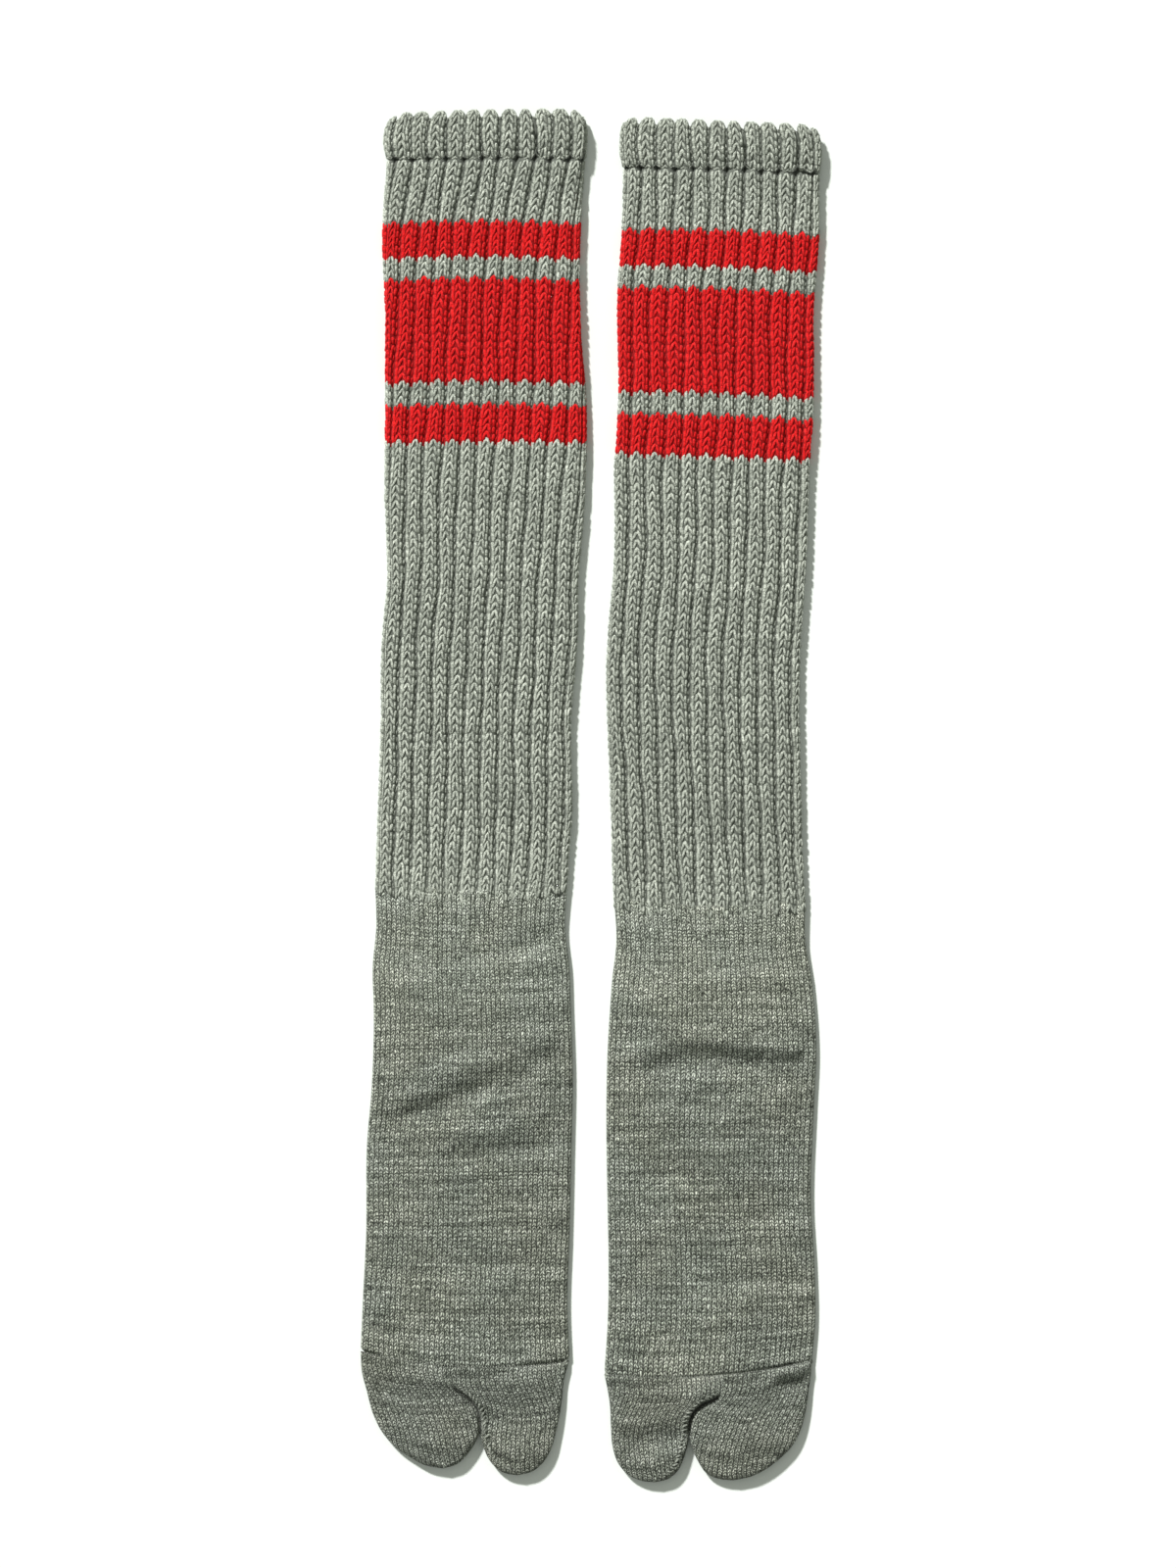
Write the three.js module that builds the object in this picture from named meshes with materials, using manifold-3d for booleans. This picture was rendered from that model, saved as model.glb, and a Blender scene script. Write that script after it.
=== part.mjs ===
// A pair of long split-toe socks laid flat side by side, seen from above.
// Millimetres, +Z up. Both socks lie on the plane z = 0 with their mouths
// toward +Y and their toes toward -Y, and the origin is at the middle of the
// ground that the pair covers. Each sock is one knitted tube, pressed flat: a
// doubled rib roll round the mouth, a chunky rib leg, a fine plain foot, and a
// toe piece whose two pockets part at the slit beside the big toe.

import * as THREE from "three";
import { mergeVertices } from "three/addons/utils/BufferGeometryUtils.js";
import Module from "manifold-3d";

// Thickness of each layer of cloth, and the spaces between layers and pieces
const ROLL_WALL = 4.0;
const ROLL_EDGE_WALL = 2.8;
const LEG_WALL = 2.6;
const FOOT_WALL = 1.5;
const LAYER_GAP = 0.6;
const SEAM_GAP = 0.3;

// Ribs on the upper face of the roll and the leg
const RIBS_ACROSS = 12;
const RIB_DEPTH = 0.9;

// How finely a section is divided
const FOLD_STEPS = 4;
const PLAIN_STEPS = 8;
const RIBBED_BASE_STEPS = 8;

// Toe pockets: how much of the height is left at the closed tip
const TIP_HEIGHT = 0.4;
const MOUTH_OVERRUN = 2;

// Yarn colours
const HEATHER_GREY = { color: 0x8a8f83, roughness: 0.95, metalness: 0 };

// One row per section, from the mouth down. left and right are the outer
// sides, crown is how far the middle stands above the sides, tilt moves the
// right side toward the mouth and the left away, and bow moves the middle
// toward the mouth. Two pieces that meet share the seam's y, and the lower one
// is cut back there by the seam gap.
const LEFT_SOCK = {
  name: "left",
  roll: [
    { y: 313.5, left: -92.5, right: -3.5, crown: 0.4, tilt: 1.0, bow: 0.7, wall: ROLL_EDGE_WALL },
    { y: 309.5, left: -94.5, right: -2.0, crown: 0.6, tilt: 0.8, bow: 0.5, wall: ROLL_WALL },
    { y: 298.5, left: -95.5, right: -1.5, crown: 0.6, tilt: 0.3, bow: 0.2, wall: ROLL_WALL },
    { y: 292.5, left: -94.5, right: -2.0, crown: 0.4, tilt: 0.0, bow: 0.0, wall: ROLL_EDGE_WALL },
  ],
  leg: [
    { y: 292.5, left: -94.0, right: -2.5, crown: 0.8, tilt: 0.0, bow: 0.0 },
    { y: 265.0, left: -96.0, right: -4.5, crown: 1.2, tilt: 0.0, bow: 1.2 },
    { y: 217.5, left: -95.5, right: -4.0, crown: 1.2, tilt: 0.0, bow: 1.2 },
    { y: 186.0, left: -95.0, right: -2.0, crown: 1.0, tilt: 0.0, bow: 1.2 },
    { y: 132.0, left: -95.0, right: -3.0, crown: 1.0, tilt: 0.0, bow: 0.0 },
    { y: 100.5, left: -94.0, right: -5.5, crown: 1.2, tilt: 0.0, bow: 0.0 },
    { y: 73.5, left: -96.5, right: -6.0, crown: 1.0, tilt: 0.0, bow: 0.0 },
    { y: 33.0, left: -97.0, right: -9.0, crown: 1.0, tilt: 0.0, bow: 0.0 },
    { y: -6.0, left: -98.5, right: -8.5, crown: 1.2, tilt: 0.0, bow: -2.0 },
    { y: -42.5, left: -99.5, right: -11.0, crown: 1.2, tilt: 0.0, bow: -5.0 },
  ],
  foot: [
    { y: -42.5, left: -99.5, right: -11.0, crown: 2.0, tilt: 0.0, bow: -5.0 },
    { y: -59.0, left: -99.0, right: -12.0, crown: 1.4, tilt: 0.0, bow: -4.0 },
    { y: -79.5, left: -100.5, right: -10.0, crown: 1.8, tilt: 0.0, bow: -2.0 },
    { y: -96.0, left: -100.0, right: -9.5, crown: 2.6, tilt: 0.5, bow: 0.0 },
    { y: -133.0, left: -101.0, right: -8.5, crown: 1.2, tilt: 1.5, bow: 0.0 },
    { y: -157.0, left: -103.0, right: -9.0, crown: 1.6, tilt: 1.0, bow: 0.0 },
    { y: -201.0, left: -103.5, right: -10.0, crown: 1.4, tilt: 0.0, bow: 0.0 },
    { y: -232.5, left: -105.0, right: -11.0, crown: 1.4, tilt: -1.0, bow: -2.0 },
    { y: -257.0, left: -106.0, right: -10.0, crown: 1.6, tilt: -2.2, bow: -4.5 },
  ],
  toePockets: [
    [
      { y: -257.0, left: -106.0, right: -36.0, crown: 1.6 },
      { y: -267.0, left: -105.0, right: -46.0, crown: 1.6 },
      { y: -280.0, left: -101.5, right: -49.0, crown: 1.8 },
      { y: -291.5, left: -96.5, right: -51.5, crown: 1.4 },
      { y: -298.5, left: -90.0, right: -54.0, crown: 1.0 },
      { y: -303.5, left: -83.5, right: -58.5, crown: 0.6 },
      { y: -307.2, left: -74.0, right: -65.0, crown: 0.2 },
    ],
    [
      { y: -257.0, left: -72.0, right: -10.0, crown: 1.6 },
      { y: -268.0, left: -62.0, right: -13.0, crown: 1.6 },
      { y: -279.5, left: -54.0, right: -14.0, crown: 1.6 },
      { y: -292.0, left: -50.5, right: -16.5, crown: 1.2 },
      { y: -300.0, left: -48.5, right: -19.0, crown: 0.8 },
      { y: -306.5, left: -44.0, right: -24.0, crown: 0.4 },
      { y: -310.2, left: -37.5, right: -31.0, crown: 0.2 },
    ],
  ],
};

const RIGHT_SOCK = {
  name: "right",
  roll: [
    { y: 310.0, left: 14.5, right: 103.5, crown: 0.4, tilt: -1.9, bow: 0.0, wall: ROLL_EDGE_WALL },
    { y: 306.0, left: 13.5, right: 105.0, crown: 0.6, tilt: -1.9, bow: 0.0, wall: ROLL_WALL },
    { y: 294.0, left: 13.0, right: 106.0, crown: 0.6, tilt: -1.5, bow: 0.0, wall: ROLL_WALL },
    { y: 287.5, left: 14.0, right: 105.5, crown: 0.4, tilt: -1.4, bow: 0.0, wall: ROLL_EDGE_WALL },
  ],
  leg: [
    { y: 287.5, left: 14.5, right: 105.0, crown: 0.8, tilt: -1.4, bow: 0.0 },
    { y: 258.0, left: 13.5, right: 105.0, crown: 1.2, tilt: -1.4, bow: 1.0 },
    { y: 228.0, left: 11.5, right: 103.0, crown: 1.2, tilt: -1.6, bow: 1.0 },
    { y: 173.5, left: 11.5, right: 102.5, crown: 1.0, tilt: -1.6, bow: 0.8 },
    { y: 152.0, left: 10.0, right: 101.0, crown: 1.0, tilt: -1.6, bow: 0.0 },
    { y: 108.5, left: 10.0, right: 99.5, crown: 1.2, tilt: -1.2, bow: 0.0 },
    { y: 65.5, left: 6.5, right: 96.5, crown: 1.0, tilt: -1.0, bow: 0.0 },
    { y: 20.0, left: 7.5, right: 96.5, crown: 1.0, tilt: -0.8, bow: 0.0 },
    { y: -21.0, left: 9.0, right: 97.5, crown: 1.2, tilt: -0.7, bow: -2.0 },
    { y: -51.0, left: 10.0, right: 99.0, crown: 1.2, tilt: -0.7, bow: -3.8 },
  ],
  foot: [
    { y: -51.0, left: 10.0, right: 99.0, crown: 2.0, tilt: -0.7, bow: -3.8 },
    { y: -66.0, left: 11.0, right: 99.0, crown: 1.4, tilt: 0.0, bow: -3.0 },
    { y: -85.5, left: 9.5, right: 101.5, crown: 2.6, tilt: 0.0, bow: 0.0 },
    { y: -117.0, left: 7.5, right: 103.5, crown: 0.8, tilt: 0.0, bow: 0.0 },
    { y: -139.5, left: 7.0, right: 102.5, crown: 1.8, tilt: 0.0, bow: 0.0 },
    { y: -187.5, left: 7.5, right: 101.0, crown: 1.4, tilt: 0.0, bow: 0.0 },
    { y: -214.5, left: 8.0, right: 102.5, crown: 1.4, tilt: 0.5, bow: 0.0 },
    { y: -241.5, left: 7.5, right: 103.0, crown: 1.4, tilt: 1.5, bow: -2.0 },
    { y: -262.0, left: 6.0, right: 101.5, crown: 1.6, tilt: 3.2, bow: -4.0 },
  ],
  toePockets: [
    [
      { y: -262.0, left: 6.0, right: 69.0, crown: 1.6 },
      { y: -273.0, left: 7.5, right: 59.0, crown: 1.6 },
      { y: -284.0, left: 8.5, right: 50.5, crown: 1.6 },
      { y: -296.5, left: 9.5, right: 45.5, crown: 1.2 },
      { y: -305.0, left: 12.0, right: 42.5, crown: 0.8 },
      { y: -311.0, left: 17.0, right: 38.5, crown: 0.4 },
      { y: -314.4, left: 25.0, right: 33.0, crown: 0.2 },
    ],
    [
      { y: -262.0, left: 31.0, right: 101.5, crown: 1.6 },
      { y: -273.0, left: 40.0, right: 100.0, crown: 1.8 },
      { y: -285.0, left: 44.0, right: 98.0, crown: 1.8 },
      { y: -296.5, left: 46.5, right: 93.5, crown: 1.4 },
      { y: -304.0, left: 49.5, right: 86.5, crown: 1.0 },
      { y: -309.5, left: 53.5, right: 78.0, crown: 0.6 },
      { y: -313.0, left: 60.5, right: 68.0, crown: 0.2 },
    ],
  ],
};

// Section of a tube laid flat: a level base, a rounded fold at each side and
// a crowned top. Gives matching outer and inner points, each as [x, z].
function tubeSection(row, wall, ribs) {
  const foldRadius = wall + LAYER_GAP / 2;
  const west = row.left + foldRadius;
  const east = row.right - foldRadius;
  const span = east - west;
  const baseSteps = ribs > 0 ? RIBBED_BASE_STEPS : PLAIN_STEPS;
  const topSteps = ribs > 0 ? 2 * ribs : PLAIN_STEPS;
  const outer = [];
  const inner = [];

  for (let i = 0; i <= baseSteps; i++) {
    const x = west + (span * i) / baseSteps;
    outer.push([x, 0]);
    inner.push([x, wall]);
  }
  addFold(outer, inner, east, foldRadius, -Math.PI / 2);
  for (let i = 0; i <= topSteps; i++) {
    const x = east - (span * i) / topSteps;
    const across = 1 - (2 * i) / topSteps;
    const under = wall + LAYER_GAP + row.crown * (1 - across * across);
    const groove = ribs > 0 && i % 2 === 0 ? RIB_DEPTH : 0;
    outer.push([x, under + wall - groove]);
    inner.push([x, under]);
  }
  addFold(outer, inner, west, foldRadius, Math.PI / 2);
  return { outer, inner };
}

// Half a turn round a side fold, without its first and last points.
function addFold(outer, inner, centreX, foldRadius, startAngle) {
  for (let i = 1; i < FOLD_STEPS; i++) {
    const angle = startAngle + (Math.PI * i) / FOLD_STEPS;
    const direction = [Math.cos(angle), Math.sin(angle)];
    const place = (radius) => [centreX + radius * direction[0], foldRadius + radius * direction[1]];
    outer.push(place(foldRadius));
    inner.push(place(LAYER_GAP / 2));
  }
}

// Puts a section's points at the row's place along the sock.
function ringAt(points, row) {
  const centre = (row.left + row.right) / 2;
  const halfWidth = (row.right - row.left) / 2;
  return points.map(([x, z]) => {
    const across = (x - centre) / halfWidth;
    const y = row.y + (row.tilt ?? 0) * across + (row.bow ?? 0) * (1 - across * across);
    return new THREE.Vector3(x, y, z);
  });
}

// The level strip between the base and the top of a plain ring, from its west
// fold to its east fold. Gives triangles that face the mouth.
function capTriangles(ringLength) {
  const westFold = ringLength - FOLD_STEPS / 2;
  const base = (k) => (westFold + k) % ringLength;
  const top = (k) => (westFold - k + ringLength) % ringLength;
  const triangles = [];
  for (let k = 0; k < ringLength / 2; k++) {
    if (base(k + 1) !== top(k + 1)) {
      triangles.push([base(k), top(k + 1), base(k + 1)]);
    }
    if (base(k) !== top(k)) {
      triangles.push([base(k), top(k), top(k + 1)]);
    }
  }
  return triangles;
}

// A mesh whose rings of equal length are joined one to the next. A tube's
// rings go round its wall and meet again; a solid's end rings are capped.
function joinRings(rings, closesOnItself) {
  const ringLength = rings[0].length;
  const positions = rings.flat().flatMap((point) => [point.x, point.y, point.z]);
  const index = [];
  const joins = closesOnItself ? rings.length : rings.length - 1;
  for (let r = 0; r < joins; r++) {
    const here = r * ringLength;
    const next = ((r + 1) % rings.length) * ringLength;
    for (let i = 0; i < ringLength; i++) {
      const j = (i + 1) % ringLength;
      index.push(here + i, next + j, next + i);
      index.push(here + i, here + j, next + j);
    }
  }
  if (!closesOnItself) {
    const last = (rings.length - 1) * ringLength;
    for (const [a, b, c] of capTriangles(ringLength)) {
      index.push(a, b, c);
      index.push(last + a, last + c, last + b);
    }
  }
  const geometry = new THREE.BufferGeometry();
  geometry.setAttribute("position", new THREE.Float32BufferAttribute(positions, 3));
  geometry.setIndex(index);
  return geometry;
}

// The rows of a piece whose first section lies on the seam above it.
function belowSeam(rows) {
  const [first, ...others] = rows;
  return [{ ...first, y: first.y - SEAM_GAP }, ...others];
}

// An open-ended tube of cloth through its rows.
function clothTube(rows, wall, ribs) {
  const sections = rows.map((row) => tubeSection(row, row.wall ?? wall, ribs));
  const outerRings = sections.map((section, i) => ringAt(section.outer, rows[i]));
  const innerRings = sections.map((section, i) => ringAt(section.inner, rows[i]));
  return joinRings([...outerRings, ...innerRings.reverse()], true);
}

// The curve of the toe seam fades out toward the tips of the pockets.
function seamShift(x, y, seam, tipY) {
  const centre = (seam.left + seam.right) / 2;
  const across = (x - centre) / ((seam.right - seam.left) / 2);
  const fade = (y - tipY) / (seam.y - tipY);
  return (seam.tilt * across + seam.bow * (1 - across * across)) * fade;
}

// One toe pocket as a solid, either its outside or the hollow within it. The
// hollow stops one wall short of the tip and runs out past the mouth.
function pocketSolid(rows, seam, side) {
  const mouthY = rows[0].y;
  const tipY = rows[rows.length - 1].y;
  const hollowScale = (mouthY - tipY - FOOT_WALL) / (mouthY - tipY);
  const lastRow = rows.length - 1;
  const rings = rows.map((row, r) => {
    const section = tubeSection(row, FOOT_WALL, 0)[side];
    const middle = FOOT_WALL + LAYER_GAP / 2;
    const height = r === lastRow ? TIP_HEIGHT : 1;
    return section.map(([x, z]) => {
      const flatY = row.y + seamShift(x, row.y, seam, tipY);
      const y = side === "inner" ? mouthY + (flatY - mouthY) * hollowScale : flatY;
      return new THREE.Vector3(x, y, middle + (z - middle) * height);
    });
  });
  if (side === "inner") {
    rings.unshift(rings[0].map((point) => point.clone().setY(point.y + MOUTH_OVERRUN)));
  }
  return joinRings(rings, false);
}

const wasm = await Module();
wasm.setup();

function toManifold(geometry) {
  const merged = mergeVertices(geometry);
  const vertProperties = new Float32Array(merged.attributes.position.array);
  const triVerts = new Uint32Array(merged.index.array);
  return new wasm.Manifold(new wasm.Mesh({ numProp: 3, vertProperties, triVerts }));
}

function fromManifold(solid) {
  const mesh = solid.getMesh();
  const geometry = new THREE.BufferGeometry();
  geometry.setAttribute("position", new THREE.Float32BufferAttribute(mesh.vertProperties, 3));
  geometry.setIndex([...mesh.triVerts]);
  return geometry;
}

// Both pockets in one piece, open where they meet the foot.
function toePiece(sock) {
  const seam = sock.foot[sock.foot.length - 1];
  const [outside, hollow] = ["outer", "inner"].map((side) => {
    const pockets = sock.toePockets.map((rows) => toManifold(pocketSolid(belowSeam(rows), seam, side)));
    return pockets[0].add(pockets[1]);
  });
  return fromManifold(outside.subtract(hollow));
}

function namedMesh(name, geometry) {
  geometry.computeVertexNormals();
  const material = new THREE.MeshStandardMaterial({ ...HEATHER_GREY, flatShading: true });
  const mesh = new THREE.Mesh(geometry, material);
  mesh.name = name;
  return mesh;
}

function makeSock(sock) {
  const group = new THREE.Group();
  group.add(namedMesh(`${sock.name}_roll`, clothTube(sock.roll, ROLL_WALL, RIBS_ACROSS)));
  group.add(namedMesh(`${sock.name}_leg`, clothTube(belowSeam(sock.leg), LEG_WALL, RIBS_ACROSS)));
  group.add(namedMesh(`${sock.name}_foot`, clothTube(belowSeam(sock.foot), FOOT_WALL, 0)));
  group.add(namedMesh(`${sock.name}_toe`, toePiece(sock)));
  return group;
}

const pair = new THREE.Group();
pair.add(makeSock(LEFT_SOCK), makeSock(RIGHT_SOCK));

export default pair;
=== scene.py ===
# %% [markdown]
# # A pair of long split-toe socks, laid flat
#
# Each sock is one knitted tube pressed flat. It starts with a rib band rolled over
# at the mouth, goes on as a chunky rib leg with red stripes, turns into a fine plain
# foot and ends in two toe pockets. The loaded model gives the size and place of every
# stretch. This script puts the cloth over it: thin sheets wrapped round the same
# sections, real stitches on the chunky rib, and a procedural knit on the fine foot.

# %% Load the frame
import math

import bmesh
import bpy
import numpy as np
from mathutils import Matrix, Vector


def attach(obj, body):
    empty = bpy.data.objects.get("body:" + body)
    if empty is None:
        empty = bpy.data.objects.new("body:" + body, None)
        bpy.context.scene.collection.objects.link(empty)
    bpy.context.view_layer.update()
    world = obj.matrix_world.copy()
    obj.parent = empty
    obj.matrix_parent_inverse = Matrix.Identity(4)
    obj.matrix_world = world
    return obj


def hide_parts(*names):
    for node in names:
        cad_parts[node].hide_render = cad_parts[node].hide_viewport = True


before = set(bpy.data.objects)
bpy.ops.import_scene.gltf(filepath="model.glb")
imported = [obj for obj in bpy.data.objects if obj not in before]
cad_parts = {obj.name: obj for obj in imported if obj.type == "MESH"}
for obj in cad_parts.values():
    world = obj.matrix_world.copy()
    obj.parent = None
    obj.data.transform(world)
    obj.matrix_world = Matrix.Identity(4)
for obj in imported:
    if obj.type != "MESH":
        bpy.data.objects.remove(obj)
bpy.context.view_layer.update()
MM = 0.001
print("nodes:", sorted(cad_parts))

# %% [markdown]
# ## The camera
#
# The pair is seen from straight above. A long lens from 2.4 m keeps the sides of the
# rolls out of sight, as they are in the photograph. The view is 540 mm wide and
# 720 mm high, and its middle lies a little off the middle of the pair.

# %% Camera
VIEW_HEIGHT = 720 * MM
VIEW_CENTRE = (-1.5 * MM, 6.0 * MM)
CLOTH_TOP = 5 * MM
CAMERA_DISTANCE = 2.4
SENSOR = 36.0

camera_data = bpy.data.cameras.new("camera")
camera_data.sensor_width = SENSOR
camera_data.lens = SENSOR * CAMERA_DISTANCE / VIEW_HEIGHT
camera_data.clip_start = 0.1
camera = bpy.data.objects.new("camera", camera_data)
camera.location = (*VIEW_CENTRE, CLOTH_TOP + CAMERA_DISTANCE)
bpy.context.scene.collection.objects.link(camera)
bpy.context.scene.camera = camera
print("lens:", round(camera_data.lens, 1), "mm")

# %% [markdown]
# ## The sections of each sock
#
# A sock laid flat is described by a few rows, from the mouth down. Each row gives
# where the left and right sides are, how far the middle is crowned above the sides,
# and how the row tilts and bows along the sock. They are the rows that the solids
# were made from, in millimetres, so the cloth lies where the solids are.

# %% Sections
ROLL_WALL = 3.9 * MM
LEG_WALL = 2.6 * MM
FOOT_WALL = 1.5 * MM
LAYER_GAP = 0.6 * MM

LEFT = {
    "name": "left",
    # y, left, right, crown, tilt, bow
    "roll": [
        (313.5, -92.5, -3.5, 0.4, 1.0, 0.7),
        (309.5, -94.5, -2.0, 0.6, 0.8, 0.5),
        (298.5, -95.5, -1.5, 0.6, 0.3, 0.2),
        (292.5, -94.5, -2.0, 0.4, 0.0, 0.0),
    ],
    "leg": [
        (292.5, -94.0, -2.5, 0.8, 0.0, 0.0),
        (265.0, -96.0, -4.5, 1.2, 0.0, 1.2),
        (217.5, -95.5, -4.0, 1.2, 0.0, 1.2),
        (186.0, -95.0, -2.0, 1.0, 0.0, 1.2),
        (132.0, -95.0, -3.0, 1.0, 0.0, 0.0),
        (100.5, -94.0, -5.5, 1.2, 0.0, 0.0),
        (73.5, -96.5, -6.0, 1.0, 0.0, 0.0),
        (33.0, -97.0, -9.0, 1.0, 0.0, 0.0),
        (-6.0, -98.5, -8.5, 1.2, 0.0, -2.0),
        (-42.5, -99.5, -11.0, 1.2, 0.0, -5.0),
    ],
    "foot": [
        (-42.5, -99.5, -11.0, 2.0, 0.0, -5.0),
        (-59.0, -99.0, -12.0, 1.4, 0.0, -4.0),
        (-79.5, -100.5, -10.0, 1.8, 0.0, -2.0),
        (-96.0, -100.0, -9.5, 2.6, 0.5, 0.0),
        (-133.0, -101.0, -8.5, 1.2, 1.5, 0.0),
        (-157.0, -103.0, -9.0, 1.6, 1.0, 0.0),
        (-201.0, -103.5, -10.0, 1.4, 0.0, 0.0),
        (-232.5, -105.0, -11.0, 1.4, -1.0, -2.0),
        (-257.0, -106.0, -10.0, 1.6, -2.2, -4.5),
    ],
}

RIGHT = {
    "name": "right",
    "roll": [
        (310.0, 14.5, 103.5, 0.4, -1.9, 0.0),
        (306.0, 13.5, 105.0, 0.6, -1.9, 0.0),
        (294.0, 13.0, 106.0, 0.6, -1.5, 0.0),
        (287.5, 14.0, 105.5, 0.4, -1.4, 0.0),
    ],
    "leg": [
        (287.5, 14.5, 105.0, 0.8, -1.4, 0.0),
        (258.0, 13.5, 105.0, 1.2, -1.4, 1.0),
        (228.0, 11.5, 103.0, 1.2, -1.6, 1.0),
        (173.5, 11.5, 102.5, 1.0, -1.6, 0.8),
        (152.0, 10.0, 101.0, 1.0, -1.6, 0.0),
        (108.5, 10.0, 99.5, 1.2, -1.2, 0.0),
        (65.5, 6.5, 96.5, 1.0, -1.0, 0.0),
        (20.0, 7.5, 96.5, 1.0, -0.8, 0.0),
        (-21.0, 9.0, 97.5, 1.2, -0.7, -2.0),
        (-51.0, 10.0, 99.0, 1.2, -0.7, -3.8),
    ],
    "foot": [
        (-51.0, 10.0, 99.0, 2.0, -0.7, -3.8),
        (-66.0, 11.0, 99.0, 1.4, 0.0, -3.0),
        (-85.5, 9.5, 101.5, 2.6, 0.0, 0.0),
        (-117.0, 7.5, 103.5, 0.8, 0.0, 0.0),
        (-139.5, 7.0, 102.5, 1.8, 0.0, 0.0),
        (-187.5, 7.5, 101.0, 1.4, 0.0, 0.0),
        (-214.5, 8.0, 102.5, 1.4, 0.5, 0.0),
        (-241.5, 7.5, 103.0, 1.4, 1.5, -2.0),
        (-262.0, 6.0, 101.5, 1.6, 3.2, -4.0),
    ],
}
SOCKS = [LEFT, RIGHT]

# %% [markdown]
# ## Wrapping cloth round a section
#
# Every sheet starts as a flat grid, the cloth unrolled. Each of its points is then
# carried to its place on the pressed tube. Going round, a point runs up the west
# fold, over the crowned top, down the east fold and back along the level underside,
# always by true length, so that stitches keep their width. Between the table's rows
# the sides follow a smooth curve. Where the cloth rests, the floor presses it level.

# %% Wrapping helpers
def through(places, values, at):
    """A smooth curve through a short table of places in rising order."""
    slopes = np.gradient(values, places)
    i = np.clip(np.searchsorted(places, at) - 1, 0, len(places) - 2)
    step = places[i + 1] - places[i]
    t = (at - places[i]) / step
    rise = values[i] * (1 + 2 * t) * (1 - t) ** 2 + values[i + 1] * t * t * (3 - 2 * t)
    return rise + step * t * (1 - t) * (slopes[i] * (1 - t) - slopes[i + 1] * t)


def smooth(value, low, high):
    """A soft step from 0 at low to 1 at high."""
    t = np.clip((value - low) / (high - low), 0, 1)
    return t * t * (3 - 2 * t)


def section_at(rows, along):
    """The row's values at each y, in metres: left, right, crown, tilt and bow."""
    table = np.array(rows[::-1]) * MM
    inside = np.clip(along, table[0, 0], table[-1, 0])
    return [through(table[:, 0], table[:, column], inside) for column in range(1, 6)]


def wrap(rows, wall, around, along, depth):
    """Points of a pressed tube. around is 0 at the west fold, 0.5 at the east fold and
    1 at the west fold again, along is y, and depth is below the outer face."""
    around, along, depth = np.broadcast_arrays(around, along, depth)
    left, right, crown, tilt, bow = section_at(rows, along)
    radius = wall + LAYER_GAP / 2
    west, east = left + radius, right - radius
    flat = east - west
    quarter = math.pi * radius / 2
    length = (around % 1.0) * (2 * flat + 4 * quarter)
    over_top = length - quarter
    down_east = over_top - flat
    under = down_east - 2 * quarter
    up_west = under - flat
    on_top = (over_top >= 0) & (down_east < 0)
    on_east = (down_east >= 0) & (under < 0)
    below = (under >= 0) & (up_west < 0)
    turn = np.where(on_east, math.pi / 2 - down_east / radius, math.pi - length / radius)
    turn = np.where(up_west >= 0, -math.pi / 2 - up_west / radius, turn)
    across = np.where(on_top, 2 * over_top / flat - 1, 1 - 2 * under / flat)
    hub = np.where(on_east, east, west)
    x = hub + (radius - depth) * np.cos(turn)
    z = radius + (radius - depth) * np.sin(turn)
    x = np.where(on_top, west + over_top, np.where(below, east - under, x))
    top_height = 2 * radius + crown * (1 - across**2) - depth
    z = np.where(on_top, top_height, np.where(below, depth, z))
    z = np.maximum(z, 0.02 * MM)
    side = (x - (left + right) / 2) / ((right - left) / 2)
    y = along + tilt * side + bow * (1 - side**2)
    return np.stack([x, y, z], axis=-1)


def soft_lines(lines, x, y):
    """The height of soft lines at the points x, y: the strongest rise and the deepest
    hollow together, so that lines which meet run on without a bump."""
    high = np.zeros(np.shape(x))
    low = np.zeros(np.shape(x))
    for x1, y1, x2, y2, width, rise in np.array(lines) * MM:
        step = np.array([x2 - x1, y2 - y1])
        share = ((x - x1) * step[0] + (y - y1) * step[1]) / (step @ step)
        near = np.clip(share, 0, 1)
        away = np.hypot(x - x1 - near * step[0], y - y1 - near * step[1])
        height = rise * np.exp(-((away / width) ** 2))
        high = np.maximum(high, height)
        low = np.minimum(low, height)
    return high + low


def tube_length(rows, wall, along):
    """The length of cloth all round the tube at one y."""
    left, right, *_ = section_at(rows, np.array([along]))
    radius = wall + LAYER_GAP / 2
    return float(2 * (right[0] - left[0] - 2 * radius) + 2 * math.pi * radius)


for sock in SOCKS:
    round_leg = tube_length(sock["leg"], LEG_WALL, 0.1)
    round_foot = tube_length(sock["foot"], FOOT_WALL, -0.15)
    print(sock["name"], "round the leg", round(round_leg / MM), "mm, foot", round(round_foot / MM), "mm")
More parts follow.
